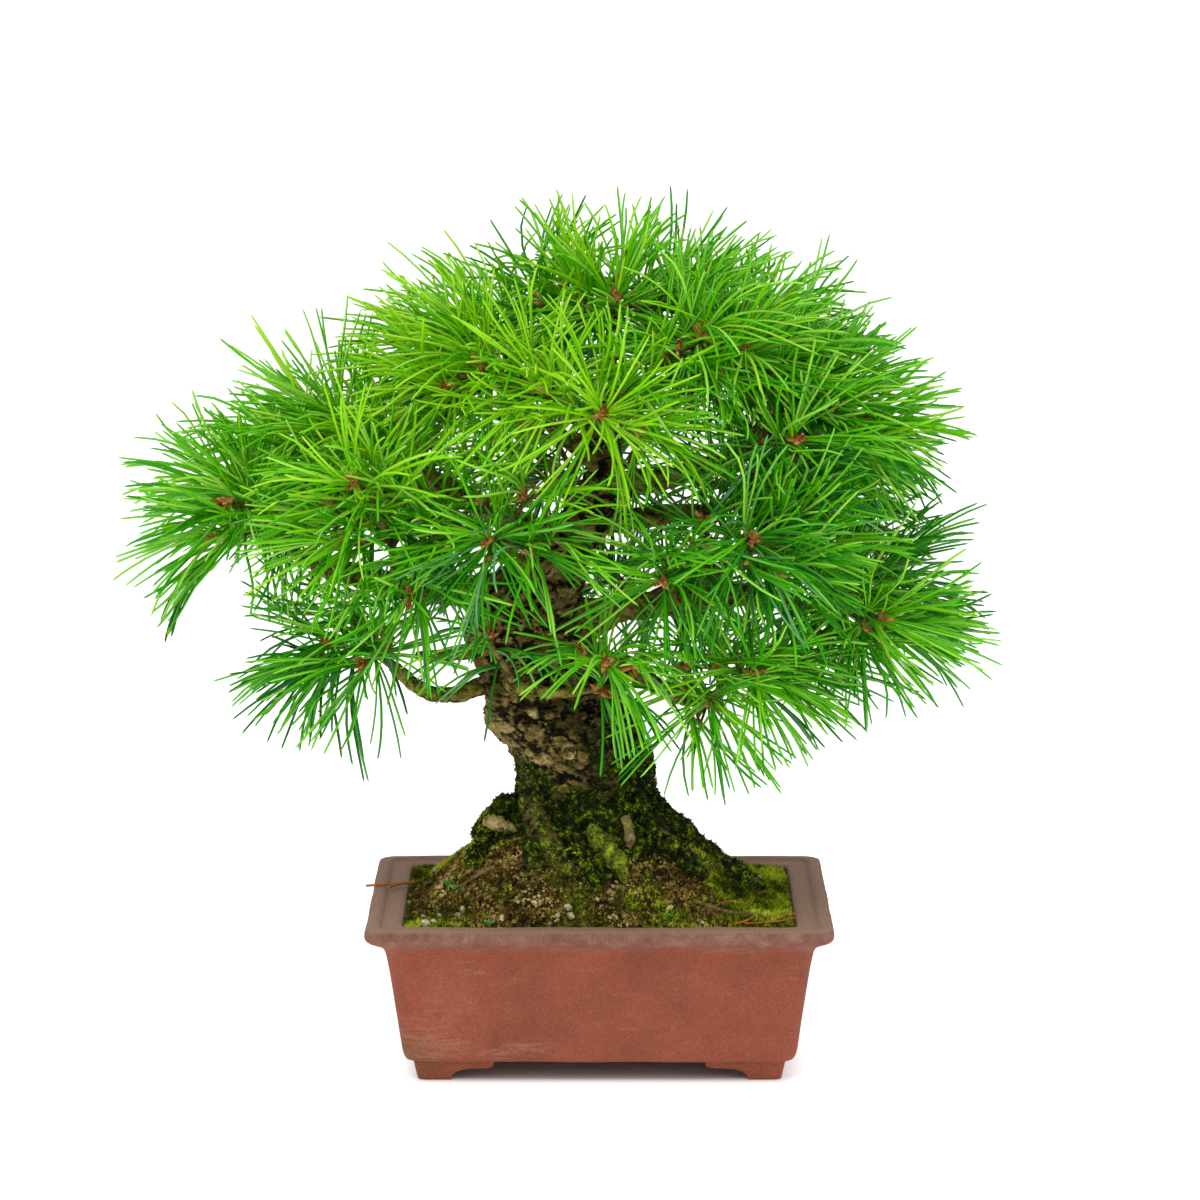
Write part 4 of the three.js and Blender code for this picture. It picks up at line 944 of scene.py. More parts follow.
def make_pebbles(seat, finish):
    """A few bleached pebbles that lie half sunk in the ground."""
    chance = np.random.default_rng(23)
    for part, squash in enumerate(((1.25, 0.95, 0.8), (1, 1.15, 0.7))):
        lying = PEBBLES[part::2]
        across, along_row, half = np.array(lying).T
        places = np.stack([across, along_row, ground_height(across, along_row) + 0.45 * half], 1)
        tilts = unit(chance.normal(size=(len(lying), 3)) * 0.4 + (0, 0, 1))
        shape = crumb("pebble", 8 + part, squash)
        finished(seated(f"pumice_pebbles_{part + 1}", places, tilts, half, seat, shape, finish), "earth")


def make_litter(limb, finishes):
    """Fallen needles, thin bare roots across the ground, and green seedlings."""
    fallen = []
    for x0, y0, x1, y1, bow in FALLEN:
        fallen.append((lying_line(x0, y0, x1, y1, bow, 1.1), np.linspace(0.62, 0.3, 9), {}))
    needles = grow(line_piece("fallen_needles", fallen), limb, sides=5, finish=finishes["dead"])
    finished(needles, "needles")
    roots = [
        (lying_line(41, -40, 71, -52, 2, 1.4, 14), np.linspace(1.2, 0.5, 14), {}),
        (lying_line(47, -43, 56, -54, -1, 1.2, 9), np.linspace(0.8, 0.4, 9), {}),
        (lying_line(-64, -24, -45, -26, 1, 0.8), np.linspace(0.6, 1.2, 9), {}),
        (lying_line(-40, -12, -74, 8, 4, 0.2, 12), np.linspace(1.3, 0.5, 12), {}),
        (lying_line(-28, 34, -58, 44, 4, 0.2, 10), np.linspace(1.4, 0.5, 10), {}),
    ]
    finished(grow(line_piece("bare_roots", roots), limb, sides=8, finish=finishes["twig"]), "bark")
    sprouts = []
    for x, y in ((-47, -56), (-66, -20), (-63, -24), (30, -52), (20, 46)):
        base = np.array((x, y, float(ground_height(x, y))))
        for i in range(6):
            turn = i * GOLDEN + x
            out = np.array((math.cos(turn), math.sin(turn), 0))
            bend = [base + out * 2.8 * s**1.5 + (0, 0, 3.8 * s * (1.35 - 0.6 * s))
                    for s in np.linspace(0, 1, 5)]
            sprouts.append((bend, (0.3, 0.42, 0.44, 0.34, 0.1), {}))
    finished(grow(line_piece("seedlings", sprouts), limb, sides=4, finish=finishes["seedling"]), "needles")


# The trunk and the boughs


def trunk_radius(height, bearing, half):
    """How far the trunk's surface is from its middle line at a height and bearings."""
    radius = half * (1 + 0.035 * np.sin(np.radians(3 * bearing) + height * 0.045))
    for root, reach, top, spread, fullness in ROOTS:
        apart = np.abs((bearing - root + 180) % 360 - 180)
        down = max(0, (top - height) / (top - TRUNK_CUT))
        radius = radius + reach * down**fullness * np.exp(-((apart / spread) ** 2))
    for knot, level, size, rise in KNOTS:
        apart = np.abs((bearing - knot + 180) % 360 - 180)
        across = np.radians(apart) * half
        radius = radius + rise * np.exp(-(across**2 + (height - level) ** 2) / size**2)
    return radius


def trunk_marks(points):
    """How worn the trunk is at each point, and its shares of moss, moss cushions, bare bark and algae, the
    bare share lowered on its right front under the crown as painted shade.
    """
    x, y, z = points.T
    front = y < 0
    shaded = smooth(-20, 30, x) * 26
    climb = 1 - smooth(112 + shaded, 142 + shaded, z + 9 * wave(points, 15, 8))
    dry = np.exp(-(((x + 6) / 15) ** 2 + ((z - 127) / 7) ** 2)) * front
    climb = climb * np.clip(1 - 0.9 * dry + 0.4 * wave(points, 18, 14), 0.15, 1)
    worn = np.exp(-(((x + 30) / 16) ** 2 + ((z - 141) / 8) ** 2))
    # The wide patch higher up on the left is lighter bark, and also painted light on the side the lamp lights
    worn = (worn + 0.45 * np.exp(-(((x + 36) / 16) ** 2 + ((z - 158) / 18) ** 2))) * front
    soiled = smooth(102, 86, z) * smooth(4, -14, x) * front
    worn = worn * (1 + 0.6 * wave(points, 9, 12)) + 0.45 * smooth(165, 190, z) + 0.5 * soiled
    climb = climb * (1 - 0.6 * soiled)
    # Painted shade: the right front of the trunk under the crown, whose bare share is lowered so it shows
    # darker
    painted_crown_shade = smooth(-12, 6, x) * smooth(192, 170, z) * front
    return worn, {
        "moss": climb, "cushion": climb**2 * (0.55 + 0.45 * wave(points, 11, 9)),
        "bare": np.clip(1.4 * worn, 0, 0.75) - 0.5 * painted_crown_shade, "algae": 0.35 * climb * smooth(-10, 20, x)}


def make_trunk(relief, bark, sides=230, rings=380):
    """The trunk from the ground to its tip, with plates, cracks and moss toward its foot."""
    bearing = np.arange(sides) * 360 / sides
    angle = np.radians(bearing)
    made, fade = [], []
    for share in np.linspace(0, 1, rings):
        x, y, z, half = along(TRUNK, share)
        radius = trunk_radius(z, bearing, half)
        made.append(np.stack([x + radius * np.cos(angle), y + radius * np.sin(angle), np.full(sides, z)], 1))
        fade += [min(1, half / 22)] * sides
    points, faces = loft(made)
    worn, marks = trunk_marks(points)
    trunk = mesh_piece("trunk_bark", points, faces, fade=fade * (1 - 0.4 * np.clip(worn, 0, 1)), **marks)
    grow(trunk, relief, plate_width=11 * MM, plate_height=4.6 * MM, plate_step=0.8 * MM, crack_depth=1.8 * MM,
         lump_size=14 * MM, lump_height=5.5 * MM, grain_size=1.4 * MM, grain_height=1.2 * MM,
         flake_height=3 * MM, finish=bark)
    return finished(trunk, "bark", "trunk")


def bough_points(name):
    """A bough's middle line as evenly shared points, as the source has them."""
    line = BOUGHS[name][2]
    steps = math.ceil((len(line) - 1) * 1.4)
    return np.array([along(line, i / steps) for i in range(steps + 1)])


def make_boughs(limb, relief, bark):
    """Every bough as one tapering limb with a swollen foot, in scaly bark."""
    lines = []
    for carrier, (thick, thin), line in BOUGHS.values():
        length = sum(np.linalg.norm(np.subtract(a, b)) for a, b in zip(line, line[1:]))
        shares = np.linspace(0, 1, int(length / 1.1))
        swell, fall = (0.55, 9) if carrier == "trunk" else (0.25, 4)
        foot = swell * np.exp(-shares * length / fall)
        radii = (thick + (thin - thick) * shares) * (1 + foot)
        path = np.array([along(line, share) for share in shares])
        sway = 0.5 * np.stack([wave(path, 22, 31), wave(path, 22, 32), wave(path, 22, 33)], 1)
        ends = np.minimum(1, 8 * np.minimum(shares, 1 - shares))[:, None]
        lines.append((path + sway * ends, radii, {"moss": 0.28, "algae": 0.55, "bare": 0.75}))
    boughs = grow(line_piece("boughs_bark", lines), limb, sides=26, finish=bark)
    grow(boughs, relief, plate_width=3.6 * MM, plate_height=5.2 * MM, plate_step=0.7 * MM,
         crack_depth=0.7 * MM, lump_size=7 * MM, lump_height=1.8 * MM, grain_size=1.6 * MM,
         grain_height=0.9 * MM, finish=bark)
    return finished(boughs, "bark", *[f"bough_{name}" for name in BOUGHS])


# Old roots that stand out of the trunk's foot, then two stubs of cut twigs over them: points, half
# thicknesses, and shares of moss, of green algae and of bare wood
SURFACE_ROOTS = [
    ([(-4, -30, 107), (-1, -35, 103), (2, -38, 99.5), (6, -41, 95.5), (9, -43.5, 91.5), (11, -47, 85)],
     (1.6, 2.9, 3.6, 3.8, 2.6, 0.8), {"moss": 0.55, "bare": 0.5, "algae": 0.62}),
    ([(11, -28, 110), (12.5, -30, 106.3), (13, -31.3, 102.2), (12.5, -32, 97.8)], (1.4, 2.1, 2, 1.1),
     {"bare": 1.25, "algae": 0.42, "moss": 0.4}),
    ([(-30, -4, 105), (-36, -7, 109.5), (-42, -10, 111), (-47, -12, 106), (-50.5, -13, 99), (-53, -14, 91),
      (-55, -15, 83)], (3, 4, 4.4, 4.2, 4, 3.8, 3.2), {"moss": 1, "algae": 0.2}),
    ([(-36, -18, 102.3), (-40, -18.5, 103.8), (-45, -18, 105.3), (-50, -16.5, 105.8)],
     (1.5, 2.4, 2.7, 2.2), {"bare": 1.6, "algae": 0.5, "moss": 0.25}),
    ([(-31, -13, 130), (-30, -20.5, 120), (-27.5, -30, 110), (-23, -35, 102), (-17, -37.5, 93.7),
      (-10, -40.5, 86.4)], (2, 4.2, 5, 4.8, 4, 2.4), {"moss": 0.5, "bare": 0.55, "algae": 0.44}),
    ([(16, -20, 121), (20, -22.5, 110.6), (27, -23.5, 100), (36, -25.5, 91), (46, -27, 83)],
     (2, 4, 4.4, 4, 2.6), {"moss": 0.95, "algae": 0.3}),
    ([(-12, -29.5, 116), (-11, -33, 105.4), (-8, -36, 96), (-3, -41, 87), (0, -46, 80.5)],
     (1.8, 3, 3.4, 3, 1.6), {"moss": 0.9, "algae": 0.3}),
    ([(22, -26.5, 107), (29, -27, 102.7), (36, -22, 95), (43.4, -19.5, 88)], (0.5, 0.8, 0.7, 0.4), {}),
    ([(-13, -28, 141), (-13.1, -34, 140.4), (-13, -37, 139)], (2.6, 2.4, 1.9), {"bare": 1.6}),
    ([(-8, -28, 141), (-7.5, -34, 139), (-6.5, -37, 136)], (2.8, 2.4, 1.7), {"bare": 1}),
]


def make_surface_roots(limb, relief, bark):
    """Old roots over the trunk's foot, some bare and some under moss."""
    lines = []
    for number, (line, radii, marks) in enumerate(SURFACE_ROOTS):
        rows = [(*point, radius) for point, radius in zip(line, radii)]
        fine = np.array([along(rows, share) for share in np.linspace(0, 1, 12 * len(rows))])
        uneven = 1 + 0.22 * wave(fine[:, :3], 6, 50 + number)
        lines.append((fine[:, :3], fine[:, 3] * uneven, marks))
    roots = grow(line_piece("surface_roots", lines), limb, sides=22, finish=bark)
    grow(roots, relief, plate_width=14 * MM, plate_height=14 * MM, plate_step=0.7 * MM, crack_depth=0.5 * MM,
         lump_size=4 * MM, lump_height=3.2 * MM, grain_size=1.6 * MM, grain_height=1.8 * MM, finish=bark)
    return finished(roots, "bark")


# The twigs, by the source's rule and on from it


def in_own_space(name, point, margin):
    """Whether a place is nearer to this mass's middle than to any other's."""
    own = np.array(MASSES[name][1], float)
    for other, mass in MASSES.items():
        if other == name:
            continue
        across = np.array(mass[1]) - own
        halfway = own + across / 2
        if (halfway - point) @ across / np.linalg.norm(across) <= margin:
            return False
    return True


def cubic(a, b, c, d, t):
    """A point on the curve that leaves a towards b and comes to d from c."""
    u = 1 - t
    return a * u**3 + 3 * b * u * u * t + 3 * c * u * t * t + d * t**3


def limb_tip(name):
    """The end of the limb that carries a mass: its tip, its direction and its half thickness."""
    if name == "trunk":
        return np.array(TRUNK[-1][:3], float), np.array((0, 0, 1.0)), TRUNK[-1][3]
    points = bough_points(name)
    return points[-1], unit(points[-1] - points[-2]), BOUGHS[name][1][1]


def stem_of(mass):
    """The stem that goes on from the limb's tip to the middle of the mass: its curve and half thickness."""
    tip, ahead, radius = limb_tip(mass[0])
    start = tip + ahead * GAP
    end = np.array(mass[1], float)
    length = np.linalg.norm(end - start)
    lead = start + ahead * length * 0.4
    rise = end - unit(end - tip) * length * 0.3
    return (lambda t: cubic(start, lead, rise, end, t)), radius * 0.85


def shoot_direction(place, along_twig):
    """The way a shoot points: away from the heart of the crown and a little up."""
    outward = unit((place - HEART) * (1, 1, 1 - HEART_PULL))
    lift = np.array((0, 0, HEART_LIFT * smooth(190, 320, place[2])))
    return unit(outward + along_twig * 0.5 + lift)


def twigs_of(name):
    """The twigs of a mass: each leaves the stem and curves to the place where its shoot stands."""
    mass = MASSES[name]
    chance = seeded(list(MASSES).index(name) * 7919 + 17)
    stem, _ = stem_of(mass)
    middle, half = np.array(mass[1], float), np.array(mass[2], float)
    places = [np.array(place, float) for place in mass[4]]
    turn = math.radians(next(chance) * 360)
    for i in range(mass[3]):
        up = 1 - 1.55 * (i + 0.5) / mass[3]
        level = math.sqrt(1 - up * up)
        angle = turn + i * GOLDEN
        reach = 0.82 + 0.24 * next(chance)
        way = np.array((level * math.cos(angle), level * math.sin(angle), up)) * half
        tries = [middle + way * reach * share for share in (1, 0.87, 0.74, 0.61)]
        place = next((point for point in tries if in_own_space(name, point, 4)), None)
        if place is not None and all(np.linalg.norm(place - other) >= NEAREST_SHOOTS for other in places):
            places.append(place)
    onward = unit(stem(1) - stem(0))
    order = sorted(range(len(places)), key=lambda i: places[i] @ onward)
    twigs = []
    for i, place in enumerate(places):
        on_stem = stem(0.25 + 0.75 * (order.index(i) + 0.5) / len(places))
        start = on_stem + (place - on_stem) * 0.7 / np.linalg.norm(place - on_stem)
        span = place - start
        length = np.linalg.norm(span)
        ahead = shoot_direction(place, unit(span))
        bend = start + span * 0.3 + (0, 0, length * 0.06)
        close = place - ahead * length * 0.32
        twigs.append((start, bend, close, place, ahead))
    return twigs


def side_shoots(twig, chance):
    """Finer twigs that leave the outer half of a twig, each with its own shoot."""
    start, bend, close, place, _ = twig
    made = []
    turn = chance.uniform(0, 2 * math.pi)
    length = np.linalg.norm(place - start)
    count = int(length > 20) + int(length > 40)
    for i in range(count):
        t = 0.42 + 0.48 * (i + chance.uniform(0.2, 0.8)) / count
        root = cubic(start, bend, close, place, t)
        onward = unit(cubic(start, bend, close, place, t + 0.05) - root)
        side = unit(np.cross(onward, (0, 0.1, 1)))
        angle = turn + i * GOLDEN
        off = side * math.cos(angle) + np.cross(onward, side) * math.sin(angle)
        lean = math.radians(chance.uniform(38, 62))
        way = unit(onward * math.cos(lean) + off * math.sin(lean))
        tip = root + way * chance.uniform(9, 16)
        end = shoot_direction(tip, way)
        made.append((root, root + way * 4, tip - end * 3, tip, end))
    return made


def make_twigs(limb, bark):
    """Stems, twigs and finer twigs as one piece, and a list of every shoot: mass, twig, whether it leads."""
    lines, shoots = [], []
    for index, (name, mass) in enumerate(MASSES.items()):
        chance = np.random.default_rng(900 + index)
        stem, radius = stem_of(mass)
        shares = np.linspace(0, 1, 14)
        lines.append(([stem(t) for t in shares], radius + (TWIG - radius) * shares, {}))
        for twig in twigs_of(name):
            steps = np.linspace(0, 1, 9)
            lines.append(([cubic(*twig[:4], t) for t in steps], 1.45 - 0.45 * steps, {}))
            shoots.append((name, twig, True))
            for fine in side_shoots(twig, chance):
                path = [cubic(*fine[:4], t) for t in np.linspace(0, 1, 5)]
                lines.append((path, np.linspace(0.95, 0.75, 5), {}))
                shoots.append((name, fine, False))
    sprig = np.array(SPRIG, float)
    lines.append(([cubic(*sprig, t) for t in np.linspace(0, 1, 9)], np.linspace(1.4, 1, 9), {}))
    shoots.append(("front_low", (*sprig, unit(sprig[3] - sprig[2])), True))
    twigs = grow(line_piece("twigs_bark", lines), limb, sides=7, finish=bark)
    finished(twigs, "bark", *[f"needles_{name}" for name in MASSES])
    return shoots


def bud():
    """A resting bud: a pointed spindle whose scales stand a little off."""
    turn = np.linspace(0, 2 * math.pi, 6, endpoint=False)
    rings = []
    for height, radius, twist in (
        (-1.2, 0.7, 0), (0.4, 1.15, 0.5), (1.5, 0.8, 0), (1.4, 1.0, 0.5), (3, 0.55, 0), (4.2, 0.08, 0.5),
    ):
        rings.append(np.stack([radius * np.cos(turn + twist), radius * np.sin(turn + twist),
                               np.full(6, height)], 1))
    return small_shape("bud", *loft(rings))


def make_buds(shoots, seat, finish):
    """A cluster of buds at the tip of every shoot."""
    chance = np.random.default_rng(41)
    points, ways, sizes = [], [], []
    for _, (*_, tip, way), leads in shoots:
        for i in range(10 if leads else 2):
            lean = unit(way + chance.normal(size=3) * (0.7 if i else 0.05))
            points.append(tip + lean * (chance.uniform(0.4, 1.8) if i else 1.6))
            ways.append(lean)
            sizes.append((chance.uniform(0.9, 1.3) if i else 1.6) * (1 if leads else 0.6))
    return finished(seated("buds", points, ways, sizes, seat, bud(), finish), "bark")


# The needles


def foremost(mass, tip):
    """Whether a shoot is one of those listed, which the photograph shows whole."""
    return any(np.allclose(tip, place) for place in (*MASSES[mass][4], SPRIG[-1]))


def young_needles(tip, way, turn, count, chance):
    """Short thin needles that stand about the tip of a shoot."""
    rows = []
    side = unit(np.cross(way, (0, 0.1, 1)))
    for i in range(count):
        angle = turn + i * GOLDEN * 1.3
        out = side * math.cos(angle) + np.cross(way, side) * math.sin(angle)
        lean = math.radians(chance.uniform(25, 75))
        needle = unit(way * math.cos(lean) + out * math.sin(lean))
        arch = out * chance.uniform(0.5, 2) + chance.normal(size=3) * 0.5
        rows.append((tip - way, needle, arch, chance.normal(size=3), chance.uniform(11, 20), 0.75))
    return rows


def tuft(mass, twig, leads, chance):
    """The needles of one shoot, in bundles of five: root, way, bend, curl, length and thickness of each."""
    start, bend, close, tip, way = twig
    length = np.linalg.norm(tip - start)
    middle = np.array(MASSES[mass][1])
    outer = smooth(-12, 12, (tip - middle) @ unit(middle - HEART))
    whole = foremost(mass, tip)
    thin = THIN.get(mass, 1)
    usual = BUNDLES_WHOLE if whole else BUNDLES_INNER + BUNDLES_OUTER * outer if leads else BUNDLES_FINE
    bundles = max(3, round(usual * thin))
    needled = min(26 if leads else 12, 0.8 * length)
    turn = chance.uniform(0, 2 * math.pi)
    hanging = HANGING.get(tuple(tip), 0)
    droop = (chance.uniform(0.2, 0.6) if whole else chance.uniform(0.1, 0.65)) + hanging
    sweep = chance.normal(size=3) * 0.24 / (1 + 4 * hanging) + (tip[0] / 400 - 0.12 * hanging, 0, 0)
    rows = []
    for i in range(bundles):
        back = i / (bundles - 1)
        t = 1 - back * needled / length
        root = cubic(start, bend, close, tip, t)
        onward = unit(cubic(start, bend, close, tip, t + 0.02) - root)
        side = unit(np.cross(onward, (0, 0, 1) if abs(onward[2]) < 0.9 else (1, 0, 0)))
        across = np.cross(onward, side)
        angle = turn + i * GOLDEN
        out = side * math.cos(angle) + across * math.sin(angle)
        lean = math.radians((22 if whole else 14) + (52 if whole else 40) * back**0.8 + chance.normal(0, 8))
        spray = unit(onward * math.cos(lean) + out * math.sin(lean))
        outward = out * math.cos(lean) - onward * math.sin(lean)
        twist = chance.uniform(0, 2 * math.pi)
        long = NEEDLE * chance.uniform(0.84, 1.1) * (1 if leads else 0.85) * (0.4 + 0.6 * thin)
        reflex = chance.uniform(-0.4, 0.9)
        for k in range(FASCICLE):
            turned = twist + 2 * math.pi * k / FASCICLE
            fan = side * math.cos(turned) + across * math.sin(turned)
            needle = unit(spray + fan * chance.uniform(0.03, 0.14))
            arch = outward * (reflex + chance.normal(0, 0.18)) + fan * chance.uniform(0, 0.4) + sweep
            arch = arch - (0, 0, droop * chance.uniform(0.6, 1.4))
            curl = chance.normal(size=3) * 0.75
            rows.append((
                root, needle, arch, curl, long * chance.uniform(0.86, 1.05), chance.uniform(0.85, 1.08)))
    return rows + young_needles(tip, way, turn, 7 if whole else 4 if leads else 0, chance)


def curves_of(rows):
    """The needles' roots, ways, bends, curls and lengths, each as one array."""
    *curves, lengths = [np.array([row[k] for row in rows]) for k in range(5)]
    return [*curves, lengths[:, None]]


def needle_place(curves, share):
    """Where needles are at a share of their lengths, reached by equal steps along their curves."""
    place, ways, bends, curls, lengths = curves
    for step in range(CURVE_STEPS):
        s = share * (step + 0.5) / CURVE_STEPS
        place = place + lengths * share / CURVE_STEPS * unit(ways + bends * s + curls * (s - s * s))
    return place


def bared_buds():
    """Small openings before the listed shoots, whose buds the photograph shows."""
    right, down = in_picture([place for mass in MASSES.values() for place in mass[4]])
    return [(x, y, 17, 14, 0.15) for x, y in zip(right, down)]


def open_places(rows, openings, chance):
    """The needles that are left where the photograph shows sky, limbs or buds through the crown."""
    curves = curves_of(rows)
    kept = np.ones(len(rows))
    for share in (0.45, 0.9):
        right, down = in_picture(needle_place(curves, share))
        for x, y, half_x, half_y, left in openings:
            inside = ((right - x) / half_x) ** 2 + ((down - y) / half_y) ** 2 < 1
            kept = np.where(inside, np.minimum(kept, left), kept)
    return [row for row, share in zip(rows, kept) if chance.random() < share]


# Share of a needle's length and of its half thickness, at each ring before its point
NEEDLE_RINGS = ((0, 0.75), (0.14, 1), (0.3, 1), (0.47, 1), (0.64, 1), (0.81, 0.95), (0.96, 0.74))


def needle_arrays(rows, chance):
    """Points and triangles of three-sided needles, and which triangles are on their pale side, a stomatal
    band that is lighter still as a painted highlight.
    """
    curves = curves_of(rows)
    roots, ways, bends, curls, lengths = curves
    low, high = [(np.array(corner) - POT_MIDDLE) / MM for corner in CAD_BOUNDS]
    ends = needle_place(curves, 1)
    with np.errstate(divide="ignore", invalid="ignore"):
        over = np.where(ends > high - 1, (high - 1 - roots) / (ends - roots), 1)
        under = np.where(ends < low + 1, (low + 1 - roots) / (ends - roots), 1)
    curves[4] = lengths * np.clip(np.minimum(over, under).min(1, keepdims=True), 0.2, 1)
    radius = NEEDLE_RADIUS * np.array([row[5] for row in rows])[:, None]
    roll = unit(chance.normal(size=roots.shape))
    rings = []
    for share, thick in NEEDLE_RINGS:
        centre = needle_place(curves, share)
        onward = unit(ways + bends * share + curls * (share - share**2))
        side = unit(np.cross(onward, roll))
        across = np.cross(onward, side)
        for k in range(3):
            angle = 2 * math.pi * k / 3
            rings.append(centre + radius * thick * (side * math.cos(angle) + across * math.sin(angle)))
    points = np.stack([*rings, needle_place(curves, 1)], 1)
    last = 3 * (len(NEEDLE_RINGS) - 1)
    faces, pale = [(2, 1, 0)], [0]
    for r in range(0, last, 3):
        for k in range(3):
            a, b = r + k, r + (k + 1) % 3
            faces += [(a, b, b + 3), (a, b + 3, a + 3)]
            pale += [int(k == 0)] * 2
    faces += [(last + k, last + (k + 1) % 3, last + 3) for k in range(3)]
    pale += [1, 0, 0]
    offsets = np.arange(len(rows))[:, None, None] * points.shape[1]
    return points.reshape(-1, 3), (np.array(faces) + offsets).reshape(-1, 3), np.tile(pale, len(rows))


def needle_piece(name, rows, seed, finishes):
    """One piece of needles of one green, each needle with one pale side, its stomatal band and a painted
    highlight.
    """
    points, faces, pale = needle_arrays(rows, np.random.default_rng(seed))
    mesh = bpy.data.meshes.new(name)
    mesh.vertices.add(len(points))
    mesh.vertices.foreach_set("co", metres(points).ravel())
    mesh.loops.add(faces.size)
    mesh.loops.foreach_set("vertex_index", faces.ravel())
    mesh.polygons.add(len(faces))
    mesh.polygons.foreach_set("loop_start", np.arange(0, faces.size, 3))
    mesh.update(calc_edges=True)
    for finish in finishes:
        mesh.materials.append(finish)
    mesh.polygons.foreach_set("material_index", pale)
    return finished(placed(name, mesh), "needles", *[f"needles_{mass}" for mass in MASSES])


# The greens, from the brightest to the deepest, dealt by painted light and shade as well as by the needles'
# own tone: colour, colour of the pale side (a stomatal band, paled further as a painted highlight), gloss
GREENS = {
    "lime": ("86d000", "a2dc2c", 0.45),
    "fresh": ("5cb800", "92d640", 0.43),
    "mid": ("309400", "68b838", 0.41),
    "deep": ("186800", "4a9a38", 0.4),
    "blue": ("2a7428", "66a464", 0.4),
}
# Where the crown's front is painted brighter or deeper than its surroundings, for its light and shade as
# well as its tone: across, height and share
LIGHT_AND_TONE_SPOTS = [
    (-66, 300, 0.5), (-28, 294, 0.4), (1, 290, 0.6), (-96, 262, 0.12), (-150, 250, 0.12), (124, 203, 0.34),
    (60, 170, 0.3), (-160, 222, -0.35), (-110, 205, -0.25), (0, 235, -0.2), (95, 240, -0.15), (50, 225, -0.1),
    (-45, 232, -0.2), (-150, 205, -0.2), (40, 300, -0.2), (112, 262, 0.2),
]


def painted_light_of_shoot(tip, chance):
    """How light the green of a shoot is, as painted light and shade: lighter to the top, left and front,
    where the lamp falls, and deeper low and behind.
    """
    x, y, z = tip
    light = 0.54 - 0.14 * x / 150 - 0.14 * y / 80 + 0.2 * (z - 245) / 80 + chance.normal(0, 0.17)
    for across, height, share in LIGHT_AND_TONE_SPOTS:
        light += share * math.exp(-((x - across) ** 2 + (z - height) ** 2) / 20**2) * (y < -15)
    return light


def named_green(light, chance):
    """The green that stands for a lightness. In the deep ones, some are bluer."""
    for name, least in (("lime", 1.06), ("fresh", 0.58), ("mid", 0.32)):
        if light > least:
            return name
    return "deep" if chance.random() < 0.65 else "blue"


def make_needles(shoots):
    """All the needles, in pieces of one green each."""
    dealt = {name: [] for name in GREENS}
    openings = SKY + GLIMPSES + bared_buds()
    for number, (mass, twig, leads) in enumerate(shoots):
        chance = np.random.default_rng([77, number])
        light = painted_light_of_shoot(twig[3], chance)
        rows = tuft(mass, twig, leads, chance)
        for row in open_places(rows, SKY if foremost(mass, twig[3]) else openings, chance):
            # Painted light and shade: needles that point up are lighter and those that point down deeper;
            # young needles are brighter of their own
            own = light + 0.16 * row[1][2] + chance.normal(0, 0.15) + (0.25 if row[4] < YOUNG else 0)
            dealt[named_green(own, chance)].append(row)
    each = 6 * (len(NEEDLE_RINGS) - 1) + 4
    for seed, (name, rows) in enumerate(dealt.items()):
        # The pale side's colour is a stomatal band, paled further as a painted highlight
        code, band_and_highlight_code, rough = GREENS[name]
        finishes = [needle_green(f"waxy_{name}_needle", code, rough),
                    needle_green(f"waxy_{name}_needle_pale_side", band_and_highlight_code, rough)]
        parts = math.ceil(len(rows) * each / PIECE_LIMIT)
        for part in range(parts):
            needle_piece(f"needles_{name}_{part + 1}", rows[part::parts], seed * 10 + part, finishes)


# The floor, the light and the camera


def glowing_white_board():
    """Matt white board under the pot that glows a little all round it but not below it, as painted light."""
    made, tree, shader = new_material("matt_white_board")
    place = add(tree, "ShaderNodeTexCoord").outputs["Object"]
    shifted = add(tree, "ShaderNodeVectorMath", (place, tuple(POT_MIDDLE)), operation="SUBTRACT")
    narrow = add(tree, "ShaderNodeVectorMath", (shifted, (0.72, 1, 1)), operation="MULTIPLY")
    folded = add(tree, "ShaderNodeVectorMath", (narrow,), operation="ABSOLUTE")
    across, along_row, _ = add(tree, "ShaderNodeSeparateXYZ", (folded,)).outputs
    away = add(tree, "ShaderNodeMath", (across, along_row), operation="MAXIMUM")
    # Painted light: the board glows, but not in a box under the pot, where its shade stays dark
    painted_glow_round_pot = add(tree, "ShaderNodeMapRange", (away, 50 * MM, 65 * MM, 0, 0.7))
    plug(tree, shader, {"Base Color": (0.8, 0.8, 0.8, 1), "Roughness": 0.9, "Emission Color": (1, 1, 1, 1),
                        "Emission Strength": painted_glow_round_pot})
    return made


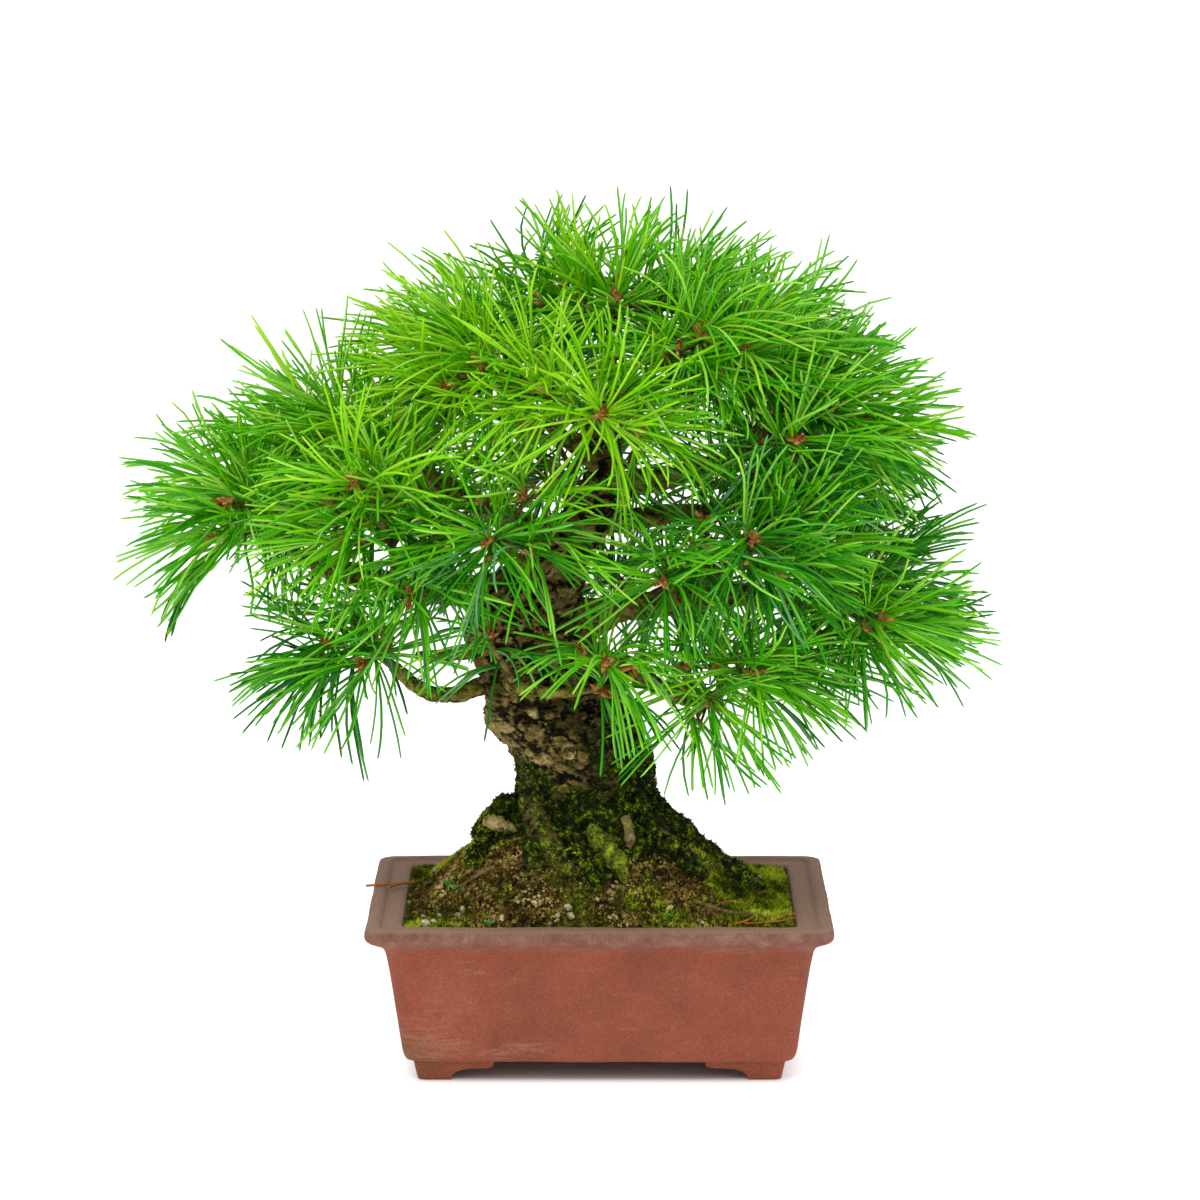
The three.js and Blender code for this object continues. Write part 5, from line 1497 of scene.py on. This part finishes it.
def make_stage():
    """A pale floor that glows round the pot as painted light, under soft studio light."""
    size, below = 30000, -0.2
    corners = [(-size, -size, below), (size, -size, below), (size, size, below), (-size, size, below)]
    floor = mesh_piece("floor", corners, [(0, 1, 2, 3)])
    floor.data.materials.append(glowing_white_board())
    world = bpy.data.worlds.new("white_room")
    world.use_nodes = True
    sky = world.node_tree
    plug(sky, sky.nodes["Background"], {"Color": (1, 1, 1, 1), "Strength": 0.78})
    bpy.context.scene.world = world
    for name, place, energy, size in (
        ("key", (-700, -1100, 1600), 18, 1.4), ("fill", (1300, -900, 900), 4, 1.2),
    ):
        light = bpy.data.lights.new(name, "AREA")
        light.energy = energy
        light.size = size
        lamp = placed(name, light)
        lamp.location = metres(place)
        aim = metres((0, 0, 200)) - metres(place)
        lamp.rotation_euler = Vector(aim).to_track_quat("-Z", "Y").to_euler()
    bpy.context.scene.view_settings.view_transform = "Standard"


def make_camera():
    """The photograph's view: a little above the crown, from two metres away, through a long lens."""
    lens = bpy.data.cameras.new("camera")
    lens.lens = LENS
    lens.sensor_width = SENSOR
    camera = placed("camera", lens)
    camera.location = metres(CAMERA_PLACE)
    camera.rotation_euler = (math.radians(90 - CAMERA_TILT), 0, 0)
    bpy.context.scene.camera = camera


def main():
    """Makes every piece in turn."""
    make_camera()
    make_stage()
    clay, grit, bark = unglazed_stoneware(), potting_grit(), pine_bark()
    finishes = small_finishes()
    relief, limb, strewn, seat = relief_tree(), limb_tree(), strew_tree(), seat_tree()
    make_pot(relief, clay)
    make_feet(clay)
    ground = make_ground(relief, grit)
    shoot, grain = moss_shoot(), crumb("grain", 3, (1, 1, 0.8))
    strew("moss_carpet", ground, strewn, "earth", shape=shoot, where="carpet", density=8.5e5, seed=2,
          smallest=0.6, largest=1.3, finish=finishes["moss"])
    strew("dry_moss", ground, strewn, "earth", shape=shoot, where="grit", density=3e5, seed=7,
          smallest=0.5, largest=1.1, finish=finishes["dry_moss"])
    strew("clay_crumbs", ground, strewn, "earth", shape=grain, where="grit", density=3.2e5, seed=3,
          smallest=0.35, largest=1.0, finish=finishes["crumb"])
    make_pebbles(seat, finishes["pumice"])
    make_litter(limb, finishes)
    trunk = make_trunk(relief, bark)
    strew("trunk_moss", trunk, strewn, "earth", shape=shoot, where="cushion", density=3e5, seed=6,
          smallest=0.4, largest=0.9, finish=finishes["dark_moss"])
    roots = make_surface_roots(limb, relief, bark)
    strew("root_moss", roots, strewn, "earth", shape=shoot, where="moss", density=4e5, seed=8,
          smallest=0.35, largest=0.8, finish=finishes["dark_moss"])
    drop(shoot, grain)
    make_boughs(limb, relief, bark)
    shoots = make_twigs(limb, finishes["twig"])
    make_buds(shoots, seat, finishes["bud"])
    make_needles(shoots)


main()
